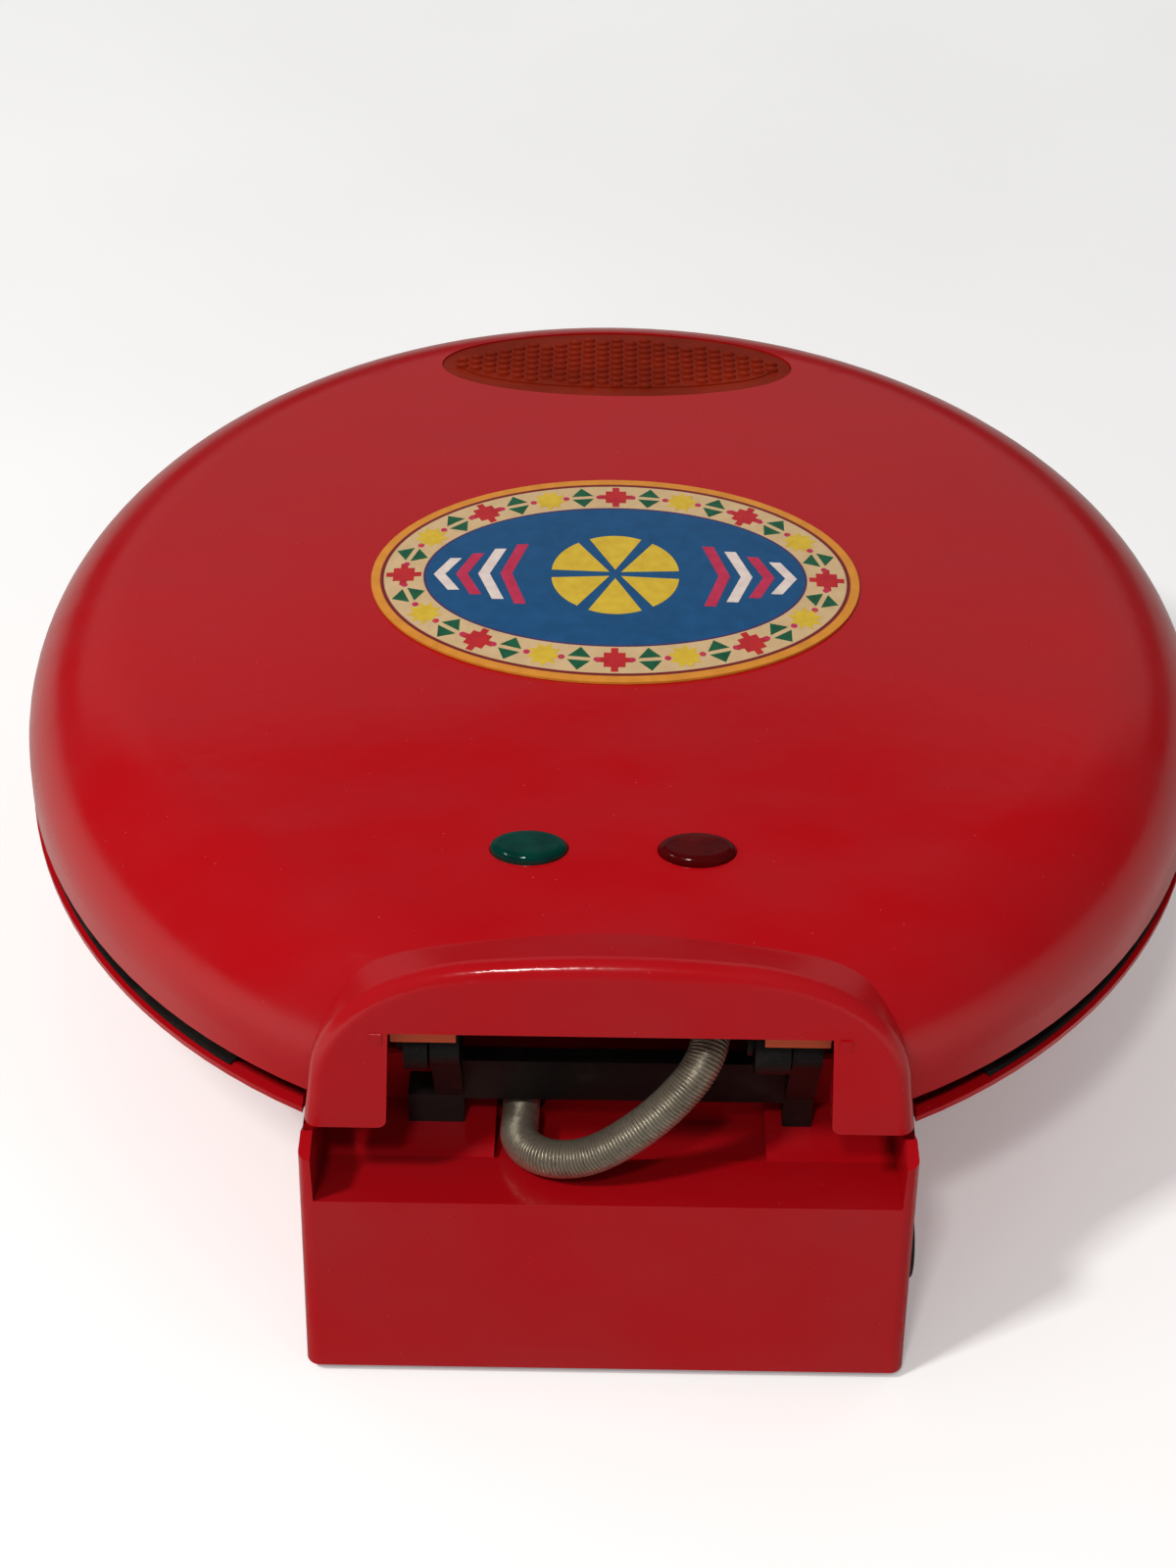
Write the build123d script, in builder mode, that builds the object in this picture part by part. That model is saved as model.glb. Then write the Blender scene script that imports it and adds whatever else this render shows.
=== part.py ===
from build123d import *
import math
import os

# ---------------------------------------------------------------------------
# Quesadilla maker: a round countertop cooker with a hinged lid.
# Millimetres. +Z is up, the hinge is at +Y, the grip at -Y.
# The origin is on the table, under the middle of the round shells.
# ---------------------------------------------------------------------------

# Heights above the table
foot_height = 2.5
rim_z = 70.8            # top of the base shell's rim
lid_gap = 6.1           # between the rim and the lid's edge
lid_height = 39.9       # from the lid's edge to its crown
leg_gap = 1.0           # between the rim and the lower ends of the arch's legs
lid_edge_z = rim_z + lid_gap
lid_top_z = lid_edge_z + lid_height
leg_bottom_z = rim_z + leg_gap

# Round shells
wall = 2.5
rim_radius = 140.0
lid_inset = 0.6         # the lid's edge lies this far inside the rim
dome_radius = 1209.0    # the lid's top is a very shallow dome
shoulder_width = 27.4   # the dome rolls over into the side within this width
side_draft = 3.0        # degrees
pedestal_inset = 64.0   # the pedestal lies this far inside the rim
pedestal_height = 13.0
pedestal_round = 14.0
rim_bead = 2.6          # height of the rim's outer bead
rim_flare = 2.0         # the bead stands out from the bowl by this much
lid_radius = rim_radius - lid_inset
shoulder_start = lid_radius - shoulder_width
pedestal_radius = rim_radius - pedestal_inset

# Hinge axis and fits
hinge_inset = 24.5      # the axis lies this far inside the rim
hinge_rise = 13.0       # and this far above it
pin_radius = 2.0
pin_clearance = 0.08
eye_radius = 6.0
knuckle_radius = 7.0
side_gap = 0.4          # between a bracket eye and the knuckle beside it
hinge_y = rim_radius - hinge_inset
hinge_z = rim_z + hinge_rise

# Hinge box at the rear of the base, its back on the rim's circle
box_half_width = 66.3
box_taper_in = 2.2      # each side leans in by this much at the top
box_lean = 2.0          # so does the back
box_depth = 82.0
box_top_drop = 1.2      # the box ends this far below the rim
box_corner = 3.0
cheek_thickness = 4.8
ledge_drop = 31.5       # from the hinge axis down to the ledges
ramp_rise = 4.9         # the ramp climbs from the ledges to the back by this much
ledge_run = 6.0         # the ledges end this far behind the axis
trough_run = 10.5       # the trough starts this far before the axis
recess_drop = 1.2       # the middle recess lies this far below the ramp's line
box_back_y = rim_radius
box_top_back_y = box_back_y - box_lean
box_front_y = box_back_y - box_depth
box_top_z = rim_z - box_top_drop
box_top_half_width = box_half_width - box_taper_in
cheek_inner = box_half_width - cheek_thickness
ledge_z = hinge_z - ledge_drop
ramp_back_z = ledge_z + ramp_rise
ledge_back_y = hinge_y + ledge_run
trough_front_y = hinge_y - trough_run

# Hinge arch of the lid
arch_inset = 2.9        # the arch is narrower than the box by this much on each side
arch_drop = 1.1         # its top lies below the lid's crown by this much
arch_back_run = 15.0    # from the axis to its back, at the lower ends of the legs
arch_front_run = 11.5   # from the axis to its front end, inside the lid
arch_lean = 5.0         # the back of the arch leans forward by this much at its top
arch_climb = 0.32       # slope of the arch's top, which climbs towards the back
arch_shoulder_rise = 2.2  # the sides begin to round over this far above the axis
front_fullness = 1.0    # how square its shoulders are, at the front end
back_fullness = 0.3     # and at the back
side_slope = 0.127
crown_half = 27.0       # half width of the crowned middle of the arch's top
crown_drop = 1.5
arch_edge_round = 3.2
leg_width = 18.4
leg_flare = 1.2         # a leg is narrower by this much at its lower end
leg_corner = 2.0        # round of a leg's lower inner corner
window_rise = 13.4      # from the axis up to the window's top
leg_return = 9.0        # depth of the wall along the inner side of each leg
sweep_clearance = 0.8   # between the turning legs and the base
arch_half_width = box_half_width - arch_inset
arch_top_z = lid_top_z - arch_drop
arch_back_y = hinge_y + arch_back_run
arch_front_y = hinge_y - arch_front_run
arch_shoulder_z = hinge_z + arch_shoulder_rise
window_half_width = arch_half_width - leg_width
window_bottom_half_width = window_half_width + leg_flare
window_top_z = hinge_z + window_rise

# Frame rings
frame_thickness = 3.6
frame_rim_gap = 7.6     # from the rim's outside in to the lower ring
frame_width = 34.4
frame_rise = 0.2        # the lower ring's top lies above the rim by this much
frame_back_run = 15.1   # both rings end this far before the hinge axis
seat_width = 6.0
lid_frame_gap = 3.8     # from the lid's outside in to the upper ring
frame_outer = rim_radius - frame_rim_gap
frame_inner = frame_outer - frame_width
frame_top_z = rim_z + frame_rise
frame_back_y = hinge_y - frame_back_run
frame_seat_z = frame_top_z - frame_thickness
lid_frame_outer = lid_radius - lid_frame_gap

# Cooking plates
flange_lap = 4.5        # the flange rests on the ring over this width
flange_thickness = 2.6
plate_gap = 0.4         # between the closed flanges
pocket_depth = 5.0
ridge_below_rim = 1.0
floor_thickness = 3.0
plate_clearance = 0.3   # between the plate's body and the frame ring around it
pocket_wall = 2.7
pocket_draft = 3.0      # the pocket is narrower at its floor by this much
ridge_width = 6.0
ridge_top_width = 2.6
wedges = 6
stud_radius = 2.5
nut_radius = 4.4
nut_height = 3.2
stud_spare = 1.5        # thread left standing past the nut
flange_radius = frame_inner + flange_lap
lid_frame_bottom_z = frame_top_z + 2 * flange_thickness + plate_gap
lid_frame_top_z = lid_frame_bottom_z + frame_thickness

# Heating
element_inset = 30.0    # the element's circle lies this far inside the ring's opening
element_radius = 3.25
element_gap = 0.3
stud_inset = 24.0       # the studs stand this far inside the element's circle
reflector_sheet = 0.8
reflector_inset = 7.0
reflector_depth = 12.0
reflector_gap = 0.3
element_start = 55.0    # degrees, from +X
element_turn = 340.0
lead_turn = 2.5         # a lead leaves the element this far from its end, in degrees
lead_radius = 2.0
lead_length = 13.0
lead_hole_radius = 3.2
sensor_radius = 8.5
sensor_height = 6.0
sensor_tip_radius = 6.5
fuse_inset = 14.0       # the fuse lies this far inside the studs' circle
fuse_radius = 2.2
fuse_length = 14.0
fuse_clip = (6.0, 6.4)
element_circle = frame_inner - element_inset
stud_circle = element_circle - stud_inset
reflector_radius = frame_inner - reflector_inset
fuse_y = fuse_inset - stud_circle

# Hinge bracket, knuckles and pins, along X
hinge_window_gap = 1.0  # between the hinge and the side of the arch's window
bar_width = 6.1
end_bar_width = 6.3
knuckle_width = 5.0
long_knuckle_width = 7.3
press_clearance = 0.02
pin_head_radius = 3.2
pin_head_height = 1.1
pin_head_room = 1.3
bracket_depth = 6.7
foot_block_height = 8.7
wide_foot_gap = 0.8     # between the wider foot and the hinge's end
cross_thickness = 4.0
cross_height = 12.0
cross_lap = 1.0         # the cross member starts this far below the top of the foot blocks
arm_lap = 2.2           # the knuckles' arms reach this far over the ring
arm_rise = 3.0
hinge_reach = window_half_width - hinge_window_gap
end_knuckle = (hinge_reach - pin_head_room - knuckle_width, hinge_reach - pin_head_room)
inner_bar = (end_knuckle[0] - side_gap - bar_width, end_knuckle[0] - side_gap)
end_bar = (-hinge_reach, end_bar_width - hinge_reach)
inner_knuckle = (end_bar[1] + side_gap, end_bar[1] + side_gap + long_knuckle_width)
bar_x = (inner_bar, end_bar)
knuckle_x = (end_knuckle, inner_knuckle)
wide_foot_x = hinge_reach - wide_foot_gap
bracket_back_y = trough_front_y + bracket_depth
bracket_knee_z = ledge_z + foot_block_height  # the bars rise straight to here
cross_bottom_z = bracket_knee_z - cross_lap
cross_top_z = cross_bottom_z + cross_height
arm_front_y = frame_back_y - arm_lap

# Wire guard: a steel tube wound from wire, between the base and the lid
guard_radius = 4.1
guard_clearance = 0.15
bush_radius = 5.3
bush_lip = 1.6
bush_lip_radius = 6.6   # the wider collar, on the hidden side of the wall
bush_clearance = 0.1
bush_proud = 0.8
bend_share = 0.45       # each bend takes this share of its shorter run
guard_seat = 1.2        # its ends stand this far inside the bushes
guard_bar_gap = 12.2    # it leaves the base this far from the inner bar
guard_knuckle_gap = 8.5  # and enters the lid this far from the inner knuckle
guard_base_rise = 1.1   # above the ledges
guard_lid_rise = 0.6    # above the hinge axis
recess_gap = (12.5, 5.5)  # the middle recess ends this far past the guard's two ends
tower_width = 14.0      # the upright wall that carries the upper bush
tower_thickness = 4.0
tower_run = 7.6         # from the ring's straight end to the wall's back
guard_base_x = inner_bar[0] - guard_bar_gap
guard_lid_x = inner_knuckle[1] + guard_knuckle_gap
guard_base_z = ledge_z + guard_base_rise
guard_lid_z = hinge_z + guard_lid_rise
recess_x = (guard_lid_x - recess_gap[0], guard_base_x + recess_gap[1])
tower_back_y = frame_back_y + tower_run

# Bottom cover, feet, mains entry and terminal block
cover_recess = 0.6
cover_thickness = 2.4
cover_gap = 0.4
cover_boss_radius = 4.5
cover_boss_height = 14.0
boss_wall_gap = 3.7     # from the pedestal's inside to the axis of a boss
post_inset = 16.3       # the posts and rear feet stand this far inside the box's sides
post_run = 28.0         # the posts stand this far before the box's back
foot_run = 13.0         # and the rear feet this far
foot_inset = 14.45      # the front feet stand this far inside the pedestal's circle
foot_angles = (227, 313)
foot_radius = 7.0
foot_round = 0.8
foot_stem_radius = 2.5
foot_stem_spare = 1.5
gland_run = 22.0        # the mains entry lies this far before the box's back
gland_z = 22.0
gland_radius = 6.0
gland_bore = 3.5
gland_collar = 2.0
gland_collar_radius = 8.5
gland_length = 6.0
block_x = -15.0
block_run = 32.0        # the terminal block stands this far before the box's back
block_size = (36.0, 18.0, 14.0)
block_pitch = 11.0
block_well = 2.6

# Details of the lid's top
grip_inset = 40.8       # the grip's middle lies this far inside the lid's edge
grip_size = (92.0, 36.0)
grip_recess = 1.2
grip_gap = 0.1
grip_border_drop = 0.4  # the flat border lies below the middle field
grip_border = 10.0
lens_x = 17.5
lens_run = 25.9         # the lenses lie this far before the hinge axis
lens_size = (16.2, 9.4)
lens_clearance = 0.15
lens_flange = 1.2
lens_lip = 1.5
lens_wall = 1.3
lens_proud = 1.6
badge_size = (114.0, 78.0)
badge_thickness = 0.6
badge_gap = 0.1
lamp_radius = 2.6
lamp_length = 8.5
holder_thickness = 3.0
holder_border = 6.0
grip_y = grip_inset - lid_radius
lens_y = hinge_y - lens_run

# Fastening
boss_radius = 4.0
screw_radius = 1.3
screw_hole_radius = 1.4
screw_head_radius = 2.8
screw_head_height = 1.8
screw_depth = 9.0
screw_slot = 0.7
base_boss_inset = 10.4  # the screws' circle lies this far inside the lower ring's edge
lid_boss_inset = 13.6   # and this far inside the upper ring's
lid_boss_angles = (35, 145, 215, 325)
base_boss_angles = (20, 160, 215, 325)
pedestal_boss_angles = (215, 325)
rib_inset = 6.8         # the ribs inside the arch stand this far inside the window's sides
rib_run = 7.5           # and this far behind the hinge axis
rib_rise = 7.4          # their lower edges lie this far above it
rib_width = 13.4
rib_thickness = 2.4


def on_circle(radius, angles):
    """Places at the given angles on a circle about the shells' axis."""
    return [
        (radius * math.cos(math.radians(a)), radius * math.sin(math.radians(a))) for a in angles
    ]


lid_boss_places = on_circle(lid_frame_outer - lid_boss_inset, lid_boss_angles)
base_boss_places = on_circle(frame_outer - base_boss_inset, base_boss_angles)
cover_bottom_z = foot_height + cover_recess
cover_top_z = cover_bottom_z + cover_thickness
cover_half_width = box_half_width - wall - cover_gap
cover_back_y = box_back_y - wall - cover_gap
cover_front_y = box_front_y + wall + cover_gap
pedestal_boss_places = on_circle(pedestal_radius - wall - boss_wall_gap, pedestal_boss_angles)
post_x = box_half_width - post_inset
post_places = [(-post_x, box_back_y - post_run), (post_x, box_back_y - post_run)]
foot_places = on_circle(pedestal_radius - foot_inset, foot_angles) + [
    (-post_x, box_back_y - foot_run),
    (post_x, box_back_y - foot_run),
]
gland_y = box_back_y - gland_run
block_place = (block_x, box_back_y - block_run)
bracket_screw_places = [((near + far) / 2, ledge_z + foot_block_height / 2) for near, far in bar_x]
bracket_pilot = screw_depth - wall - 0.3
ring_notch_half_width = arch_half_width + sweep_clearance + 0.3
rib_x = window_half_width - rib_inset
rib_y = hinge_y + rib_run
rib_bottom_z = hinge_z + rib_rise


def shift(point, amount):
    """The point moved by amount in its own plane."""
    return (point[0] + amount[0], point[1] + amount[1])


# ---------------------------------------------------------------------------
# Lid shell
# ---------------------------------------------------------------------------

dome_angle = math.asin(shoulder_start / dome_radius)
side_angle = math.radians(90 - side_draft)
shoulder_radius = (lid_radius - shoulder_start) / (math.sin(side_angle) - math.sin(dome_angle))


def dome_z(radius, inset=0.0):
    """Height of the dome at a distance from the lid's axis."""
    ball = dome_radius - inset
    return lid_top_z - dome_radius + math.sqrt(ball ** 2 - radius ** 2)


def lid_section(inset, low_z):
    """Half section of the lid, inset from the outer surface, down to low_z."""
    ball = dome_radius - inset
    roll = shoulder_radius - inset
    start = (ball * math.sin(dome_angle), lid_top_z - dome_radius + ball * math.cos(dome_angle))
    centre = shift(start, (-roll * math.sin(dome_angle), -roll * math.cos(dome_angle)))
    half = (dome_angle + side_angle) / 2
    middle = shift(centre, (roll * math.sin(half), roll * math.cos(half)))
    end = shift(centre, (roll * math.sin(side_angle), roll * math.cos(side_angle)))
    low = (end[0] + (end[1] - low_z) * math.tan(math.radians(side_draft)), low_z)
    dome_half = (start[0] / 2, dome_z(start[0] / 2, inset))
    with BuildSketch(Plane.XZ) as section:
        with BuildLine():
            ThreePointArc((0, lid_top_z - inset), dome_half, start)
            ThreePointArc(start, middle, end)
            Polyline(end, low, (0, low_z), (0, lid_top_z - inset))
        make_face()
    return section.sketch


def arch_section(y, crown_z, fullness, inset, low_z):
    """Cross section of the hinge arch at y: upright sides, round corners and a crowned top."""
    half_width = arch_half_width - inset
    side_top = (half_width - side_slope * (arch_shoulder_z - leg_bottom_z), arch_shoulder_z)
    low = (half_width - side_slope * (low_z - leg_bottom_z), low_z)
    crown_end = (crown_half, crown_z - crown_drop - inset)
    crown_radius = (crown_half ** 2 + crown_drop ** 2) / (2 * crown_drop)
    crown_slope = math.tan(math.asin(crown_half / crown_radius))
    reach = fullness * (side_top[0] - crown_half)
    rise = fullness * (crown_end[1] - side_top[1])
    with BuildSketch(Plane.XZ.offset(-y)) as section:
        with BuildLine():
            Line(low, side_top)
            Bezier(
                side_top,
                shift(side_top, (-side_slope * rise, rise)),
                shift(crown_end, (reach, -crown_slope * reach)),
                crown_end,
            )
            Line(low, (0, low_z))
            mirror(about=Plane.YZ)
            ThreePointArc(crown_end, (0, crown_z - inset), (-crown_end[0], crown_end[1]))
        make_face()
    return section.sketch


arch_end_y = arch_back_y + 6
arch_front_crown = arch_top_z - arch_climb * (arch_back_y - arch_lean - arch_front_y)
arch_end_crown = arch_top_z + arch_climb * (arch_end_y - arch_back_y + arch_lean)
back_plane = Plane(
    origin=(0, arch_back_y, leg_bottom_z),
    x_dir=(1, 0, 0),
    z_dir=(0, arch_top_z - leg_bottom_z, arch_lean),
)

with BuildPart() as arch_outer:
    add(arch_section(arch_front_y, arch_front_crown, front_fullness, 0, leg_bottom_z))
    add(arch_section(arch_end_y, arch_end_crown, back_fullness, 0, leg_bottom_z))
    loft(ruled=True)
    split(bisect_by=back_plane, keep=Keep.BOTTOM)
    back_face = arch_outer.faces().sort_by(Axis.Y)[-1]
    round_edges = [e for e in back_face.edges() if e.center().Z > leg_bottom_z + 1]
    fillet(round_edges, radius=arch_edge_round)

with BuildPart() as arch_inner:
    add(arch_section(arch_front_y - 4, arch_front_crown, front_fullness, wall, leg_bottom_z - 5))
    add(arch_section(arch_end_y, arch_end_crown, back_fullness, wall, leg_bottom_z - 5))
    loft(ruled=True)
    split(bisect_by=back_plane.offset(-wall), keep=Keep.BOTTOM)


def dome_layer(size, place, high, low):
    """An oval sheet that follows the lid's top, between two insets from its surface."""
    with BuildPart() as layer:
        with BuildSketch(Plane.XY.offset(lid_edge_z + 4)):
            with Locations(place):
                Ellipse(size[0] / 2, size[1] / 2)
        extrude(amount=lid_top_z - lid_edge_z + 4)
        add(lid_section(high, lid_edge_z))
        revolve(axis=Axis.Z, mode=Mode.INTERSECT)
        add(lid_section(low, lid_edge_z))
        revolve(axis=Axis.Z, mode=Mode.SUBTRACT)
    return layer.part


with BuildPart() as lid_void:
    add(lid_section(wall, leg_bottom_z - 5))
    revolve(axis=Axis.Z)
    split(bisect_by=back_plane.offset(-wall), keep=Keep.BOTTOM)
    add(arch_inner.part)

with BuildPart() as lid_shell:
    add(lid_section(0, lid_edge_z))
    revolve(axis=Axis.Z)
    # the flat back of the arch cuts the round shell off
    split(bisect_by=back_plane, keep=Keep.BOTTOM)
    add(arch_outer.part)
    add(lid_void.part, mode=Mode.SUBTRACT)
    # return walls along the inner sides of the two legs
    for side in (-1, 1):
        with BuildSketch(Plane.XZ.offset(-arch_back_y + wall)):
            with Locations((side * (window_bottom_half_width + wall / 2), leg_bottom_z)):
                Rectangle(wall, window_top_z - leg_bottom_z, align=(Align.CENTER, Align.MIN))
        extrude(amount=leg_return)
    # window in the back of the arch; the legs' inner corners are round at the bottom
    with BuildSketch(Plane.XZ.offset(-arch_back_y - 5)) as window:
        Polygon(
            (-window_bottom_half_width, leg_bottom_z),
            (-window_bottom_half_width - 3 * leg_corner, leg_bottom_z),
            (-window_bottom_half_width - 3 * leg_corner, leg_bottom_z - 5),
            (window_bottom_half_width + 3 * leg_corner, leg_bottom_z - 5),
            (window_bottom_half_width + 3 * leg_corner, leg_bottom_z),
            (window_bottom_half_width, leg_bottom_z),
            (window_half_width, window_top_z),
            (-window_half_width, window_top_z),
            align=None,
        )
        inner_corners = [
            v
            for v in window.vertices()
            if abs(abs(v.X) - window_bottom_half_width) < 0.1 and abs(v.Y - leg_bottom_z) < 0.1
        ]
        fillet(inner_corners, radius=leg_corner)
    extrude(amount=5 + wall + leg_return, mode=Mode.SUBTRACT)
    # bosses that take the frame's screws
    with BuildSketch(Plane.XY.offset(lid_frame_top_z)):
        with Locations(*lid_boss_places):
            Circle(boss_radius)
    extrude(until=Until.NEXT)
    with BuildSketch(Plane.XY.offset(lid_frame_top_z)):
        with Locations(*lid_boss_places):
            Circle(screw_hole_radius)
    extrude(amount=screw_depth, mode=Mode.SUBTRACT)
    # stiffening ribs inside the arch, beside the hinge
    with BuildSketch(Plane.XY.offset(rib_bottom_z)):
        with Locations((-rib_x, rib_y), (rib_x, rib_y)):
            Rectangle(rib_width, rib_thickness)
    extrude(until=Until.NEXT)
    # window for each lens
    with BuildSketch(Plane.XY.offset(lid_top_z)):
        with Locations((-lens_x, lens_y), (lens_x, lens_y)):
            Ellipse(lens_size[0] / 2 + lens_clearance, lens_size[1] / 2 + lens_clearance)
    extrude(amount=-10, mode=Mode.SUBTRACT)
    add(dome_layer(grip_size, (0, grip_y), -5, grip_recess), mode=Mode.SUBTRACT)
lid_shell.part.label = "lid_shell"

with BuildPart() as grip_insert:
    fitted = (grip_size[0] - 2 * grip_gap, grip_size[1] - 2 * grip_gap)
    field = (grip_size[0] - grip_border, grip_size[1] - grip_border)
    add(dome_layer(fitted, (0, grip_y), grip_border_drop, grip_recess - grip_gap))
    add(dome_layer(field, (0, grip_y), grip_gap, grip_recess - grip_gap))
grip_insert.part.label = "grip_insert"

with BuildPart() as badge:
    add(dome_layer(badge_size, (0, 0), -badge_gap - badge_thickness, -badge_gap))
badge.part.label = "badge"


def make_lens(x):
    """An oval lens: a domed head in the lid's window over a wider flange below the lid."""
    window_z = dome_z(math.hypot(x, lens_y))
    far_corner = math.hypot(abs(x) + lens_size[0] / 2, lens_y + lens_size[1] / 2)
    flange_top = dome_z(far_corner, wall) - lens_clearance
    with BuildPart() as lens:
        with BuildSketch(Plane.XY.offset(flange_top - lens_flange)):
            with Locations((x, lens_y)):
                Ellipse(lens_size[0] / 2, lens_size[1] / 2)
        extrude(amount=window_z - flange_top + lens_flange + lens_proud)
        fillet(lens.edges().group_by(Axis.Z)[-1], radius=lens_proud * 0.9)
        with BuildSketch(Plane.XY.offset(flange_top - lens_flange)):
            with Locations((x, lens_y)):
                Ellipse(lens_size[0] / 2 + lens_lip, lens_size[1] / 2 + lens_lip)
        extrude(amount=lens_flange)
        # the lamp's pocket
        with BuildSketch(Plane.XY.offset(flange_top - lens_flange)):
            with Locations((x, lens_y)):
                Ellipse(lens_size[0] / 2 - lens_wall, lens_size[1] / 2 - lens_wall)
        extrude(amount=window_z - flange_top + lens_flange - 1, mode=Mode.SUBTRACT)
    return lens.part


with BuildPart() as ready_lens:
    add(make_lens(lens_x))
ready_lens.part.label = "ready_lens"

with BuildPart() as power_lens:
    add(make_lens(-lens_x))
power_lens.part.label = "power_lens"

lens_foot_z = ready_lens.part.bounding_box().min.Z

holder_size = (2 * lens_x + lens_size[0] + holder_border, lens_size[1] + holder_border)

with BuildPart() as lamp_holder:
    with BuildSketch(Plane.XY.offset(lens_foot_z - lens_clearance - holder_thickness)):
        with Locations((0, lens_y)):
            RectangleRounded(*holder_size, holder_border / 2)
    extrude(amount=holder_thickness)
    with BuildSketch(Plane.XY.offset(lens_foot_z - lens_clearance)):
        with Locations((0, lens_y)):
            Circle(boss_radius)
    extrude(amount=dome_z(lens_y, wall) - lens_foot_z + lens_clearance - 0.3)
    with BuildSketch(Plane.XY.offset(lens_foot_z)):
        with Locations((-lens_x, lens_y), (lens_x, lens_y)):
            Circle(lamp_radius + pin_clearance)
    extrude(amount=-holder_thickness - 1, mode=Mode.SUBTRACT)
lamp_holder.part.label = "lamp_holder"

with BuildPart() as neon_lamps:
    with BuildSketch(Plane.XY.offset(lens_foot_z - holder_thickness - 3)):
        with Locations((-lens_x, lens_y), (lens_x, lens_y)):
            Circle(lamp_radius)
    extrude(amount=lamp_length)
    fillet(neon_lamps.edges().group_by(Axis.Z)[-1], radius=lamp_radius * 0.8)
neon_lamps.part.label = "neon_lamps"

# ---------------------------------------------------------------------------
# Base shell
# ---------------------------------------------------------------------------


def bowl_section(inset, low_z, high_z):
    """Half section of the base's bowl and pedestal, inset from its outer surface."""
    outline = [
        (pedestal_radius, low_z),
        (pedestal_radius, pedestal_height),
        (rim_radius - rim_flare, rim_z - rim_bead),
        (rim_radius, rim_z - rim_bead + rim_flare / 2),
        (rim_radius, high_z),
    ]
    with BuildSketch(Plane.XZ) as section:
        with BuildLine():
            Polyline(*outline, (-20, high_z), (-20, low_z), outline[0])
        make_face()
        corner = section.vertices().sort_by_distance((pedestal_radius, pedestal_height, 0))[0]
        fillet(corner, radius=pedestal_round)
        if inset:
            offset(amount=-inset, mode=Mode.REPLACE)
        with Locations((-100, 0)):
            Rectangle(200, 600, mode=Mode.SUBTRACT)
    return section.sketch


def box_body(inset, low_z, high_z):
    """The tapered hinge box at the back of the base, inset from its outer faces."""
    taper = (box_half_width - box_top_half_width) / (box_top_z - foot_height)
    back_taper = (box_back_y - box_top_back_y) / (box_top_z - foot_height)
    with BuildPart() as body:
        for z in (low_z, high_z):
            half_width = box_half_width - taper * (z - foot_height) - inset
            back = box_back_y - back_taper * (z - foot_height) - inset
            front = box_front_y + inset
            with BuildSketch(Plane.XY.offset(z)):
                with Locations((0, (front + back) / 2)):
                    Rectangle(2 * half_width, back - front)
        loft(ruled=True)
        uprights = body.edges().filter_by(lambda e: abs(e.tangent_at(0.5).Z) > 0.9)
        fillet(uprights.sort_by(Axis.Y)[-2:], radius=max(box_corner - inset, 0.5))
    return body.part


shelf_front_y = frame_inner + 0.6
shelf_overhang = trough_front_y - wall - shelf_front_y
ramp_slope = (ramp_back_z - ledge_z) / (box_top_back_y - ledge_back_y)
recess_run = ledge_back_y - trough_front_y
recess_floor_z = ledge_z - ramp_slope * recess_run - recess_drop
sweep_radius = math.hypot(arch_back_y - hinge_y, hinge_z - leg_bottom_z) + sweep_clearance
cone_slope = (rim_radius - rim_flare - pedestal_radius) / (rim_z - rim_bead - pedestal_height)


def cone_radius(z):
    """Radius of the bowl's conical side at a height."""
    return pedestal_radius + cone_slope * (z - pedestal_height)


def trough_body(half_width, grow):
    """The hollow in the top of the box that the arch turns in, grown by a wall."""
    low = ledge_z - grow
    front = trough_front_y - grow
    with BuildPart() as body:
        with BuildSketch(Plane.YZ.offset(-half_width)):
            Polygon(
                (front, box_top_z + 30),
                (front, low),
                (ledge_back_y, low),
                (ledge_back_y + 40, low + 40 * ramp_slope),
                (ledge_back_y + 40, box_top_z + 30),
                align=None,
            )
        extrude(amount=2 * half_width)
    return body.part


def recess_body(grow):
    """Where the ramp runs on down between the two ledges, grown by a wall."""
    back = ledge_back_y + grow
    with BuildPart() as body:
        with BuildSketch(Plane.YZ.offset(recess_x[0] - grow)):
            Polygon(
                (trough_front_y - grow, ledge_z + 1),
                (trough_front_y - grow, recess_floor_z - grow),
                (back, ledge_z - recess_drop - grow),
                (back, ledge_z + 1 - grow),
                align=None,
            )
        extrude(amount=recess_x[1] - recess_x[0] + 2 * grow)
    return body.part


with BuildPart() as trough_liner:
    add(trough_body(box_half_width, wall))
    # shelf before the trough that carries the back of the frame ring
    with BuildSketch(Plane.YZ.offset(-box_half_width)):
        Polygon(
            (shelf_front_y, frame_seat_z),
            (trough_front_y - wall / 2, frame_seat_z),
            (trough_front_y - wall / 2, frame_seat_z - wall - shelf_overhang),
            (shelf_front_y, frame_seat_z - wall),
            align=None,
        )
    extrude(amount=2 * box_half_width)
    add(recess_body(wall))
    add(box_body(0, foot_height, frame_seat_z), mode=Mode.INTERSECT)

with BuildPart() as base_void:
    add(bowl_section(wall, foot_height - 5, rim_z + 5))
    revolve(axis=Axis.Z)
    add(box_body(wall, foot_height - 5, box_top_z + 5))

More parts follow.
